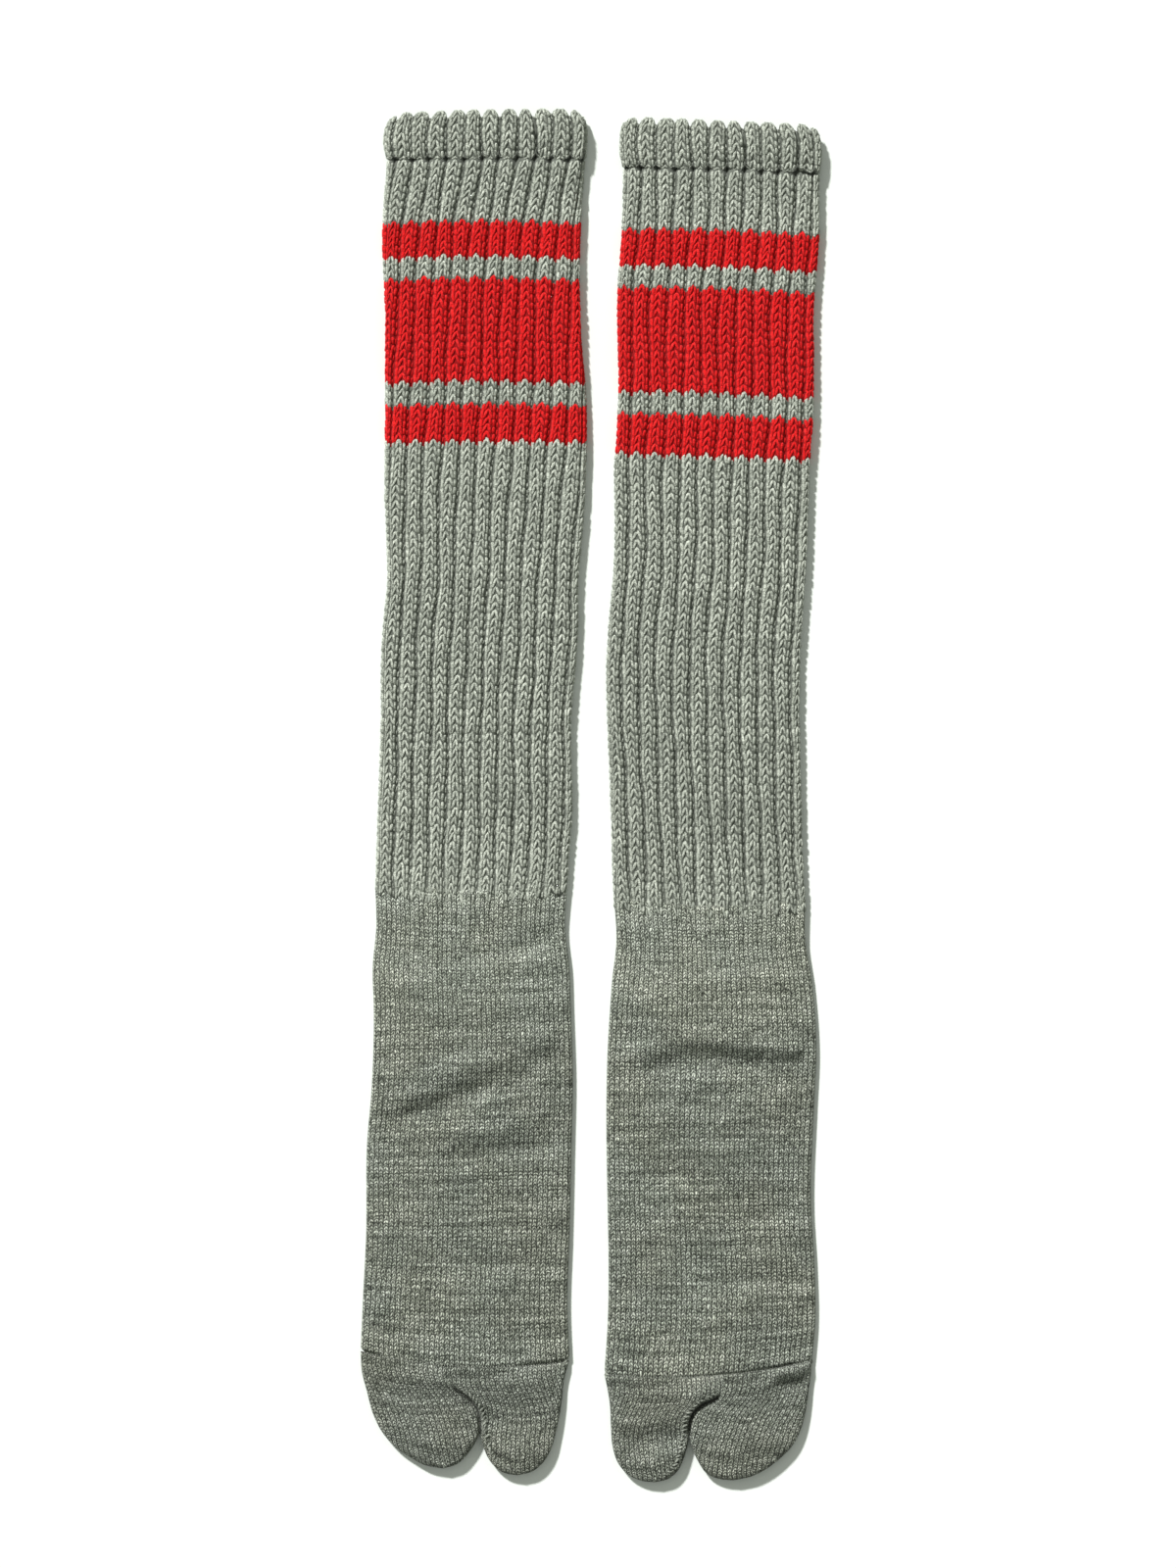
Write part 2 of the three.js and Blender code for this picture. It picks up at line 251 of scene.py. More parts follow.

# %% [markdown]
# ## Yarn
#
# The socks are knitted from a heather yarn: pale, mid and dark grey-green fibres spun
# together, so that no two stitches have quite the same shade. Each stitch of the
# chunky rib carries a number of its own, which picks its shade, and a finer noise adds
# the fibres. The gaps between stitches are painted dark: painted shade, where little
# light gets in.

# %% Material helpers
class Nodes:
    """Adds and links shader nodes in short lines."""

    def __init__(self, name):
        self.material = bpy.data.materials.new(name)
        self.material.use_nodes = True
        self.tree = self.material.node_tree
        self.shader = self.tree.nodes["Principled BSDF"]

    def add(self, kind, settings=None, **inputs):
        node = self.tree.nodes.new(kind)
        for name, value in (settings or {}).items():
            setattr(node, name, value)
        for name, value in inputs.items():
            key = int(name[1:]) if name[0] == "i" and name[1:].isdigit() else name.replace("_", " ")
            self.put(node.inputs[key], value)
        return node

    def put(self, socket, value):
        if isinstance(value, bpy.types.NodeSocket):
            self.tree.links.new(value, socket)
        else:
            socket.default_value = value

    def math(self, operation, a, b=0.0, c=0.0):
        node = self.add("ShaderNodeMath", {"operation": operation}, i0=a, i1=b, i2=c)
        return node.outputs[0]

    def mix(self, factor, a, b, blend="MIX"):
        node = self.add("ShaderNodeMix", {"data_type": "RGBA", "blend_type": blend})
        self.put(node.inputs[0], factor)
        self.put(node.inputs[6], a)
        self.put(node.inputs[7], b)
        return node.outputs[2]

    def noise(self, vector, scale, detail=2.0, roughness=0.5):
        inputs = {"Vector": vector, "Scale": scale, "Detail": detail, "Roughness": roughness}
        return self.add("ShaderNodeTexNoise", **inputs).outputs[0]

    def wave(self, value):
        """Half a sine wave, for a value from 0 to 1."""
        return self.math("SINE", self.math("MULTIPLY", value, math.pi))

    def join(self, x, y, z=0.0):
        return self.add("ShaderNodeCombineXYZ", i0=x, i1=y, i2=z).outputs[0]

    def ramp(self, value, low, high):
        node = self.add("ShaderNodeMapRange", i0=value, i1=low, i2=high)
        node.interpolation_type = "SMOOTHSTEP"
        return node.outputs[0]

    def object_place(self):
        return self.add("ShaderNodeTexCoord").outputs["Object"]

    def attribute(self, name):
        return self.add("ShaderNodeAttribute", {"attribute_name": name}).outputs["Fac"]

    def uv(self):
        return self.add("ShaderNodeUVMap", {"uv_map": "knit"}).outputs[0]


def shade(red, green, blue):
    return (red, green, blue, 1.0)


# Dark, mid and pale
GREY_SHADES = (shade(0.145, 0.157, 0.132), shade(0.385, 0.414, 0.355), shade(0.75, 0.785, 0.69))
RED_SHADES = (shade(0.48, 0.004, 0.005), shade(0.73, 0.006, 0.008), shade(0.86, 0.024, 0.024))


def finish_yarn(nodes, colour, height, bump_distance, sheen=0.06):
    """What all the yarns share: a matt face with a little sheen and fine relief."""
    bump = nodes.add("ShaderNodeBump", Strength=1.0, Distance=bump_distance, Height=height)
    nodes.put(nodes.shader.inputs["Base Color"], colour)
    nodes.put(nodes.shader.inputs["Normal"], bump.outputs[0])
    nodes.shader.inputs["Roughness"].default_value = 0.92
    nodes.shader.inputs["Specular IOR Level"].default_value = 0.08
    nodes.shader.inputs["Sheen Weight"].default_value = sheen
    nodes.shader.inputs["Sheen Roughness"].default_value = 0.6
    return nodes.material


def stitch_yarn(name, dark, mid, pale):
    """The chunky yarn: a shade for each stitch, then flecks and fibres."""
    nodes = Nodes(name)
    place = nodes.object_place()
    own = nodes.attribute("own")
    fleck = nodes.ramp(nodes.noise(place, 820.0, detail=2.0, roughness=0.6), 0.32, 0.68)
    fibre = nodes.ramp(nodes.noise(place, 2400.0, detail=2.0), 0.3, 0.7)
    level = nodes.math("MULTIPLY_ADD", own, 0.40, nodes.math("MULTIPLY", fleck, 0.34))
    level = nodes.math("MULTIPLY_ADD", fibre, 0.26, level)
    lower = nodes.mix(nodes.ramp(level, 0.05, 0.50), dark, mid)
    colour = nodes.mix(nodes.ramp(level, 0.42, 0.88), lower, pale)
    height = nodes.math("ADD", fleck, fibre)
    return finish_yarn(nodes, colour, height, 0.25 * MM)


grey_yarn = stitch_yarn("grey heather yarn", *GREY_SHADES)
red_yarn = stitch_yarn("red yarn", *RED_SHADES)
print("yarns:", grey_yarn.name, "and", red_yarn.name)

# %% [markdown]
# ## The ground of the rib
#
# Behind the stitches the rib is a corrugated sheet: broad rounded ribs with narrow
# grooves. It shows between the stitches, and its colour is painted dark, as painted
# shade for the gaps and grooves where little light gets in. It also keeps the light
# from passing through the knit. A grid of eight columns to a rib, closer together at the
# grooves, is wrapped round the leg. The ribs lean where the sock was laid with a
# twist, so the whole grid slides round the tube by a few millimetres there.

# %% Rib shape
RIBS_ROUND = 24
COURSE = 3.62 * MM
RIB_DEPTH = 2.1 * MM
GROUND_DEPTH = 0.75 * MM
COURSE_ARCH = 2.2 * MM
RIB_COLUMNS = np.array([-0.5, -0.44, -0.36, -0.2, 0.0, 0.2, 0.36, 0.44])
GROUND_COLUMNS = np.append(np.add.outer(np.arange(RIBS_ROUND), RIB_COLUMNS).ravel(), RIBS_ROUND - 0.5)

# Where the ribs start round the tube, and the twist toward the mouth, in ribs
LEFT["rib_start"] = 0.80
RIGHT["rib_start"] = 0.62
LEFT["twist"] = [(-60, 0.0), (40, 0.0), (150, 0.15), (200, 0.55), (265, 1.15), (292, 1.45), (330, 1.45)]
RIGHT["twist"] = [(-60, 0.15), (60, 0.05), (150, 0.0), (220, 0.05), (288, 0.2), (330, 0.2)]

# Creases run down between the last ribs of the rolls.
# x1, y1, x2, y2, half width and depth in mm
LEFT["creases"] = [(-8.5, 303, -6.5, 296, 1.4, 0.8)]
RIGHT["creases"] = [
    (97.6, 304, 100.9, 297.5, 1.3, 1.2),
    (100.9, 297.5, 100.3, 292, 1.5, 1.8),
    (100.3, 292, 97.1, 285.6, 1.7, 2.0),
    (97.1, 285.6, 94.7, 274.8, 1.6, 1.3),
]


def crease_depth(sock, around, place):
    """How far the cloth turns in along the creases of the upper side."""
    return soft_lines(sock["creases"], place[..., 0], place[..., 1]) * top_share(around)


def twist_at(sock, along):
    table = np.array(sock["twist"])
    return through(table[:, 0] * MM, table[:, 1], along)


def rib_depth(rib, deepest, power=2.5):
    """How deep the rib's skin lies below the crests, for a place in ribs."""
    phase = (rib + 0.5) % 1.0 - 0.5
    return deepest * np.abs(2 * phase) ** power


def arched(rib, along):
    """A course bends like a caret over each rib: highest on the crest."""
    return along - rib_depth(rib, COURSE_ARCH, 1.4)


def top_share(around):
    """1 on the upper side of the tube, 0 on the side that rests, soft at the folds."""
    return smooth(np.sin(2 * math.pi * around), -0.1, 0.35)


def rib_around(sock, rib, along):
    """Where a rib lies round the tube. No rib runs quite straight."""
    turn = 2 * math.pi * rib / RIBS_ROUND
    wander = 0.045 * np.sin(along * 95 + 7 * turn) + 0.03 * np.sin(along * 210 - 10 * turn)
    return (rib + wander + sock["rib_start"] + twist_at(sock, along)) / RIBS_ROUND


def grid_mesh(name, columns, rows, place, closed_round=True):
    """A cloth grid: columns and rows are the places along its two sides, and place
    carries them to points. Its map holds the same places, for the knit patterns."""
    mesh = bmesh.new()
    uv = mesh.loops.layers.uv.new("knit")
    across = len(columns) - 1
    down = len(rows) - 1
    bmesh.ops.create_grid(mesh, x_segments=across, y_segments=down, size=0.5)
    flat = np.array([vertex.co[:2] for vertex in mesh.verts]) + 0.5
    i = np.rint(flat[:, 0] * across).astype(int)
    j = np.rint(flat[:, 1] * down).astype(int)
    for face in mesh.faces:
        for loop in face.loops:
            n = loop.vert.index
            loop[uv].uv = (columns[i[n]], rows[j[n]])
    points = place(np.asarray(columns)[i], np.asarray(rows)[j])
    for vertex, point in zip(mesh.verts, points):
        vertex.co = point
    if closed_round:
        bmesh.ops.remove_doubles(mesh, verts=mesh.verts, dist=1e-6)
    data = bpy.data.meshes.new(name)
    mesh.to_mesh(data)
    mesh.free()
    data.shade_smooth()
    piece = bpy.data.objects.new(name, data)
    bpy.context.scene.collection.objects.link(piece)
    return piece


def thicken(piece, thickness):
    """Gives a sheet its wall, inward from the face that shows."""
    wall = piece.modifiers.new("wall", "SOLIDIFY")
    wall.thickness = thickness
    wall.offset = -1
    return piece


def own_values(piece, values):
    """Stores one number for each point, for the material."""
    attribute = piece.data.attributes.new("own", "FLOAT", "POINT")
    attribute.data.foreach_set("value", np.asarray(values, np.float32))

# %% [markdown]
# ## Stitches of the rib
#
# On the face of a knit each stitch shows as two short strokes of yarn that lean
# together. The rib is three stitches wide, and its outer two turn away into the
# grooves, so four strokes show across each rib: one of the left stitch, the two of
# the middle one, like a caret, and one of the right. A small one lies in the groove,
# painted dark as shade, and the side strokes are painted a little darker than the
# caret's. A stroke is a low sphere drawn out and bent so that both its ends dive into
# the cloth. Thousands of copies are placed at once with arrays, each with a little
# variation of its own.

# %% One stroke of yarn
STROKE_SIDES = 5
STROKE_RINGS = 3
STROKE_DIVE = 0.75


def stroke_shape():
    """Points and triangles of one stroke, one unit in each half axis, length along Y."""
    mesh = bmesh.new()
    bmesh.ops.create_uvsphere(mesh, u_segments=STROKE_SIDES, v_segments=STROKE_RINGS, radius=1.0)
    bmesh.ops.rotate(mesh, verts=mesh.verts, matrix=Matrix.Rotation(math.pi / 2, 3, "Z"))
    bmesh.ops.rotate(mesh, verts=mesh.verts, matrix=Matrix.Rotation(math.pi / 2, 3, "X"))
    bmesh.ops.triangulate(mesh, faces=mesh.faces)
    for vertex in mesh.verts:
        vertex.co.z -= STROKE_DIVE * vertex.co.y**2
    points = np.array([vertex.co for vertex in mesh.verts])
    triangles = np.array([[vertex.index for vertex in face.verts] for face in mesh.faces])
    mesh.free()
    return points, triangles


STROKE_POINTS, STROKE_TRIANGLES = stroke_shape()


def stroke_mesh(name, points, own):
    """One mesh of many strokes, given the points of each and a shade for each."""
    starts = np.arange(len(points)) * len(STROKE_POINTS)
    triangles = starts[:, None, None] + STROKE_TRIANGLES[None]
    data = bpy.data.meshes.new(name)
    data.from_pydata(points.reshape(-1, 3), [], triangles.reshape(-1, 3).tolist())
    data.shade_smooth()
    piece = bpy.data.objects.new(name, data)
    bpy.context.scene.collection.objects.link(piece)
    own_values(piece, np.repeat(own, len(STROKE_POINTS)))
    return piece


def unit(vectors):
    return vectors / np.linalg.norm(vectors, axis=-1, keepdims=True)


print("a stroke has", len(STROKE_TRIANGLES), "triangles")

# %% Strokes of a rib course
# place across the rib in ribs, lean in degrees, half width, length and thickness in mm,
# and how much darker the stroke is. This is painted shade: the small stroke in the
# groove is much darker, the side strokes that turn into the grooves a little darker,
# and the caret's strokes on the lit crest a little paler.
RIB_STROKES = [
    (-0.325, -5, 0.95, 3.30, 0.72, 0.04),
    (-0.120, 22, 0.84, 2.75, 0.95, -0.06),
    (0.120, -22, 0.84, 2.75, 0.95, -0.06),
    (0.315, 8, 0.75, 2.50, 0.72, 0.04),
    (0.48, 4, 0.46, 1.60, 0.50, 0.3),
]
STROKE_DEPTH = 0.65 * MM
RIB_WIDTH = 7.9 * MM


def yarn_shades(random, courses, columns):
    """A shade for each stitch. The heather wanders slowly along each course, and
    every stitch adds a chance of its own."""
    steps = random.normal(size=(100, 200))
    slow = np.cumsum(steps - steps.mean(axis=1, keepdims=True), axis=1)
    slow = slow / slow.std(axis=1, keepdims=True)
    value = 0.5 + 0.05 * slow[courses % 100, np.rint(columns * 4).astype(int) % 200]
    return value + random.uniform(-0.28, 0.28, len(courses))


def rib_strokes(name, random, point, courses, places, painted_shade=0.0):
    """Strokes for courses with the given numbers and places along the cloth. point
    carries a place in ribs, a place along and a depth to where the cloth lies, so
    every stroke bends with the cloth."""
    table = np.array(RIB_STROKES)
    counts = (RIBS_ROUND, len(courses), len(table))
    ribs, rows, kinds = [part.ravel() for part in np.indices(counts)]
    count = len(ribs)
    rib = ribs + table[kinds, 0] + random.normal(0, 0.012, count)
    along = np.asarray(places)[rows] + random.normal(0, 0.16, count) * MM
    sunk = STROKE_DEPTH + random.normal(0, 0.08, count) * MM
    lean = np.radians(table[kinds, 1] + random.normal(0, 5, count))[:, None]
    size = table[kinds, 2:5] * MM * random.normal(1, 0.07, (count, 3)).clip(0.8, 1.2)
    x, y, z = np.moveaxis(STROKE_POINTS[None] * size[:, None, :], 2, 0)
    u = rib[:, None] + (x * np.cos(lean) + y * np.sin(lean)) / RIB_WIDTH
    v = along[:, None] + y * np.cos(lean) - x * np.sin(lean)
    points = point(u, v, sunk[:, None] - z)
    own = yarn_shades(random, np.asarray(courses)[rows], rib) - table[kinds, 5]
    # Painted shade, where given, darkens whole courses.
    own = own + np.broadcast_to(painted_shade, len(courses))[rows]
    return stroke_mesh(name, points, own)


# %% [markdown]
# ## The leg
#
# The leg is counted in courses from the roll down: eight grey, five red, three grey,
# thirteen red, three grey, five red, and then grey to the ankle. A stripe is a change
# of yarn, so its edge follows the points of the stitches. The ground behind the
# stitches changes colour at the same courses, which its map counts. The cloth is
# thickest at the stripes and thins toward the ankle, where it meets the fine foot.

# %% Ground yarn, in painted shade
RED_COURSES = [(8, 13), (16, 29), (32, 37)]
STRIPE_SHIFT = 0.3
# The ground's colours are painted shade. They are much darker than the yarn of the stitches, for the
# dark gaps and grooves between them. The red ones lie under the red stripes.
SHADED_GROUND_GREY = shade(0.028, 0.031, 0.026)
SHADED_GROUND_GREY_PALE = shade(0.20, 0.216, 0.186)
SHADED_GROUND_RED = shade(0.12, 0.003, 0.004)
SHADED_GROUND_RED_PALE = shade(0.42, 0.006, 0.008)


def ground_material(name, striped):
    nodes = Nodes(name)
    fibre = nodes.noise(nodes.object_place(), 1500.0, detail=3.0, roughness=0.7)
    colour = nodes.mix(fibre, SHADED_GROUND_GREY, SHADED_GROUND_GREY_PALE)
    if striped:
        course = nodes.add("ShaderNodeSeparateXYZ", i0=nodes.uv()).outputs[1]
        red = 0.0
        for first, last in RED_COURSES:
            after = nodes.math("GREATER_THAN", course, first + STRIPE_SHIFT)
            before = nodes.math("LESS_THAN", course, last + STRIPE_SHIFT)
            red = nodes.math("ADD", red, nodes.math("MULTIPLY", after, before))
        colour = nodes.mix(red, colour, nodes.mix(fibre, SHADED_GROUND_RED, SHADED_GROUND_RED_PALE))
    return finish_yarn(nodes, colour, fibre, 0.3 * MM)


shaded_rib_ground = ground_material("ground of the rib in painted shade", striped=True)
shaded_roll_ground = ground_material("ground of the roll in painted shade", striped=False)
print("red courses:", sum(last - first for first, last in RED_COURSES))

# %% Leg
# y in mm, wall in mm
LEG_WALLS = [(-60, 1.9), (-25, 2.35), (40, 2.6), (130, 2.75), (180, 3.0), (270, 3.0), (290, 3.25),
             (300, 3.25)]
TUCK_COURSES = 1
# course, y in mm
LEFT["course_marks"] = [(-1, 296), (0, 292.5), (8, 264.0), (13, 247.8), (16, 237.9), (29, 190.7),
                        (32, 180.3), (37, 163.7), (94, -42.5), (95, -46)]
RIGHT["course_marks"] = [(-1, 291), (0, 287.5), (8, 260.0), (13, 243.3), (16, 233.4), (29, 185.3),
                         (32, 175.4), (37, 157.4), (94, -51), (95, -54.6)]
LEG_COURSES = 94

# Painted shade: the stitches of the right leg are drawn a little darker near the ankle, for the light
# that falls off there
LEFT["low_shade"] = 0.0
RIGHT["low_shade"] = -0.12
PAINTED_SHADE_FROM_TO = (0.12, 0.02)
GROUND_WALL = 0.6 * MM


def leg_wall(along):
    table = np.array(LEG_WALLS) * MM
    return through(table[:, 0], table[:, 1], along)


def course_y(sock, course):
    """Where a course lies. The courses are a little closer at the stripes."""
    table = np.array(sock["course_marks"])
    return through(table[:, 0], table[:, 1] * MM, course)


def make_leg(sock, random):
    name = sock["name"]
    bottom = sock["leg"][-1][0] * MM

    def point(rib, along, depth):
        along = arched(rib, along)
        thin = smooth(along, bottom - 5 * MM, bottom + 26 * MM)
        around = rib_around(sock, rib, along)
        skin = rib_depth(rib, RIB_DEPTH) * (0.4 + 0.6 * thin) * (0.65 + 0.35 * top_share(around))
        flat = wrap(sock["leg"], leg_wall(along), around, along, 0.0)
        skin = skin + crease_depth(sock, around, flat)
        return wrap(sock["leg"], leg_wall(along), around, along, skin + depth * (0.8 + 0.2 * thin))

    def ground_place(rib, course):
        return point(rib, course_y(sock, course), GROUND_DEPTH)

    edges = {edge + STRIPE_SHIFT for pair in RED_COURSES for edge in pair}
    rows = sorted(edges | set(range(-TUCK_COURSES, LEG_COURSES + 1, 2)) | {LEG_COURSES}, reverse=True)
    ground = grid_mesh(f"{name}_leg_ground", GROUND_COLUMNS, rows, ground_place)
    thicken(ground, GROUND_WALL)
    ground.data.materials.append(shaded_rib_ground)
    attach(ground, "root")
    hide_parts(f"{name}_leg")

    numbers = np.arange(LEG_COURSES)
    is_red = np.zeros(LEG_COURSES, bool)
    for first, last in RED_COURSES:
        is_red[first:last] = True
    low = numbers >= RED_COURSES[-1][1]
    stitches = []
    for label, chosen, yarn, slot in [
        ("upper_stitches", ~is_red & ~low, grey_yarn, "heather_rib"),
        ("red_stitches", is_red, red_yarn, "red_stripe"),
        ("lower_stitches", low, grey_yarn, "heather_rib"),
    ]:
        courses = numbers[chosen]
        places = course_y(sock, courses + 0.5)
        painted_shade = sock["low_shade"] * smooth(places, *PAINTED_SHADE_FROM_TO)
        piece = rib_strokes(f"{name}_{label}", random, point, courses, places, painted_shade)
        piece.data.materials.append(yarn)
        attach(piece, "root")
        stitches.append(piece)

    faces = sum(len(piece.data.polygons) for piece in stitches)
    print(name, "leg:", LEG_COURSES, "courses,", faces, "triangles of stitches")


for sock in SOCKS:
    make_leg(sock, np.random.default_rng(11))

# %% [markdown]
# ## The roll at the mouth
#
# The top of the rib is turned outward and lies doubled round the mouth. Seen in a cut
# along the sock it is a flat hook: it comes out from under its own lower edge, runs up
# the outside, bends over the top and goes down inside. The same rib runs on over it,
# so the top edge is a row of round scallops, and the mouth stays open between the two
# layers. The under layer is a little shorter, so that white shows between the scallops.

# %% Roll
# Radii of the two bends. The lower one starts this share of a half turn late.
LOWER_BEND = 1.1 * MM
LOWER_START = 0.3
UPPER_BEND = 1.9 * MM
INSIDE_REACH = 9 * MM

# How much longer the cloth is than the solid's roll, in mm
LEFT["roll_more"] = 1.6
RIGHT["roll_more"] = 1.0

# How deep the grooves cut into both edges, and how much shorter the under layer is
SCALLOP = 3.4 * MM
LOWER_SCALLOP = 1.0 * MM
UNDER_SHORT = 2.6 * MM

# The outside sags at its lower end and bulges in the middle
ROLL_SAG = 1.0 * MM
ROLL_BULGE = 0.4 * MM
ROLL_RIB_DEPTH = 2.1 * MM
ROLL_RIB_POWER = 3.0


def roll_lengths(sock):
    """The lengths of the hook's four stretches: lower bend, outside, upper bend, inside."""
    height = (sock["roll"][0][0] - sock["roll"][-1][0] + sock["roll_more"]) * MM
    outside = height - LOWER_BEND - UPPER_BEND
    lower = (1 - LOWER_START) * math.pi * LOWER_BEND
    return lower, outside, math.pi * UPPER_BEND, INSIDE_REACH


def roll_point(sock, rib, along, depth=0.0):
    """A point of the roll, where along runs up the hook from its tucked lower end."""
    lower, outside, upper, _ = roll_lengths(sock)
    low = sock["roll"][-1][0] * MM
    along = np.where(along > lower, np.maximum(arched(rib, along), lower), along)
    gap = np.floor(rib) % RIBS_ROUND
    uneven = 1 + 0.25 * np.sin(2.4 * gap) + 0.2 * np.sin(5.1 * gap + 1)
    hollow = rib_depth(rib, 1.0, ROLL_RIB_POWER) * uneven
    notch = SCALLOP * hollow
    rise = LOWER_SCALLOP * (hollow - 0.5)
    first = np.clip(along / lower, 0, 1)
    second = np.clip((along - lower) / outside, 0, 1)
    third = np.clip((along - lower - outside) / upper, 0, 1)
    fourth = np.clip(along - lower - outside - upper, 0, None)
    under = math.pi * (LOWER_START + (1 - LOWER_START) * first)
    over = math.pi * third
    short = UNDER_SHORT * (1 - top_share(rib_around(sock, rib, low + outside)))
    y = low + rise + LOWER_BEND * (1 - np.sin(under)) + second * (outside - notch - rise - short)
    y = y + UPPER_BEND * np.sin(over) - fourth
    below = np.where(second > 0, UPPER_BEND * (1 - np.cos(over)), LOWER_BEND * (1 + np.cos(under)))
    around = rib_around(sock, rib, y)
    on_top = top_share(around)
    sag = ROLL_SAG * (1 - smooth(second, 0, 0.7))
    below = below + (sag - ROLL_BULGE * np.sin(math.pi * second)) * on_top
    out_y = np.where(second > 0, np.sin(over), -np.sin(under))
    out_below = np.where(second > 0, -np.cos(over), np.cos(under))
    shallow = 1.25 - 0.25 * smooth(second, 0, 0.4) - 0.65 * smooth(third, -0.2, 0.5)
    eastward = 0.6 + 0.5 * smooth(around % 1.0, 0.08, 0.3)
    deepest = ROLL_RIB_DEPTH * (0.6 + 0.4 * on_top)
    inward = depth * (1 - 0.6 * third) + deepest * hollow * shallow * eastward
    flat = wrap(sock["roll"], ROLL_WALL, around, y, 0.0)
    inward = inward + crease_depth(sock, around, flat) * (third <= 0)
    points = wrap(sock["roll"], ROLL_WALL, around, y - out_y * inward, below - out_below * inward)
    points[..., 2] = np.maximum(points[..., 2], np.clip(depth, 0.02 * MM, GROUND_WALL))
    return points


def make_roll(sock, random):
    name = sock["name"]
    lengths = roll_lengths(sock)
    total = sum(lengths)
    bends = np.cumsum(lengths)
    rows = np.concatenate([
        np.linspace(0, bends[0], 6)[:-1],
        np.linspace(bends[0], bends[1], 11)[:-1],
        np.linspace(bends[1], bends[2], 8)[:-1],
        np.linspace(bends[2], bends[3], 4),
    ])

    def point(rib, along, depth=GROUND_DEPTH):
        return roll_point(sock, rib, along, depth)

    sheet = grid_mesh(f"{name}_roll_ground", GROUND_COLUMNS, rows, point)
    thicken(sheet, GROUND_WALL)
    sheet.data.materials.append(shaded_roll_ground)
    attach(sheet, "root")
    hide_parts(f"{name}_roll")

    # One course more at the top, where the bend draws the stitches apart
    first = 0.3 * bends[0]
    count = round((total - first) / COURSE)
    places = first + (np.arange(count) + 0.2) * COURSE
    places = np.sort(np.append(places, (bends[1] + bends[2]) / 2))
    stitches = rib_strokes(f"{name}_roll_stitches", random, point, np.arange(count + 1), places)
    stitches.data.materials.append(grey_yarn)
    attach(stitches, "root")
    print(name, "roll:", count, "courses over", round(total / MM), "mm of cloth")


for sock in SOCKS:
    make_roll(sock, np.random.default_rng(12))

# %% [markdown]
# ## The fine knit
#
# The foot is plain knit in a finer gauge, 84 stitches round. The cloth's map counts
# stitches across and courses down, so a material can draw each stitch: two leaning
# lobes with a gap of painted shade between them, repeated. Long faint streaks along
# the courses come from the heather yarn, which is darker for a few stitches and then
# paler.

# %% Fine knit material
# Shades from dark to pale, and the share of them that the toe and the seams have
FINE_SHADES = (shade(0.235, 0.258, 0.214), shade(0.615, 0.665, 0.558), shade(0.96, 1.0, 0.895))
TOE_SHARE = 0.82
SEAM_SHARE = 0.72
# Painted shade: the share of the colour that is left in the gaps between the lobes
GAP_LIGHT = 0.04

# The scale of the noise that makes the stitches wander a little
KNIT_WANDER_SCALE = 380.0

# The cloth is a little darker below the instep, and warm and cool patches cross it
FADE_FROM_TO = (-0.125, -0.085)
FADED = shade(0.81, 0.81, 0.81)
PATCH_COOL = shade(0.945, 0.965, 0.955)
PATCH_WARM = shade(0.995, 0.99, 0.955)


def darker(colours, share):
    return [shade(*(share * part for part in colour[:3])) for colour in colours]


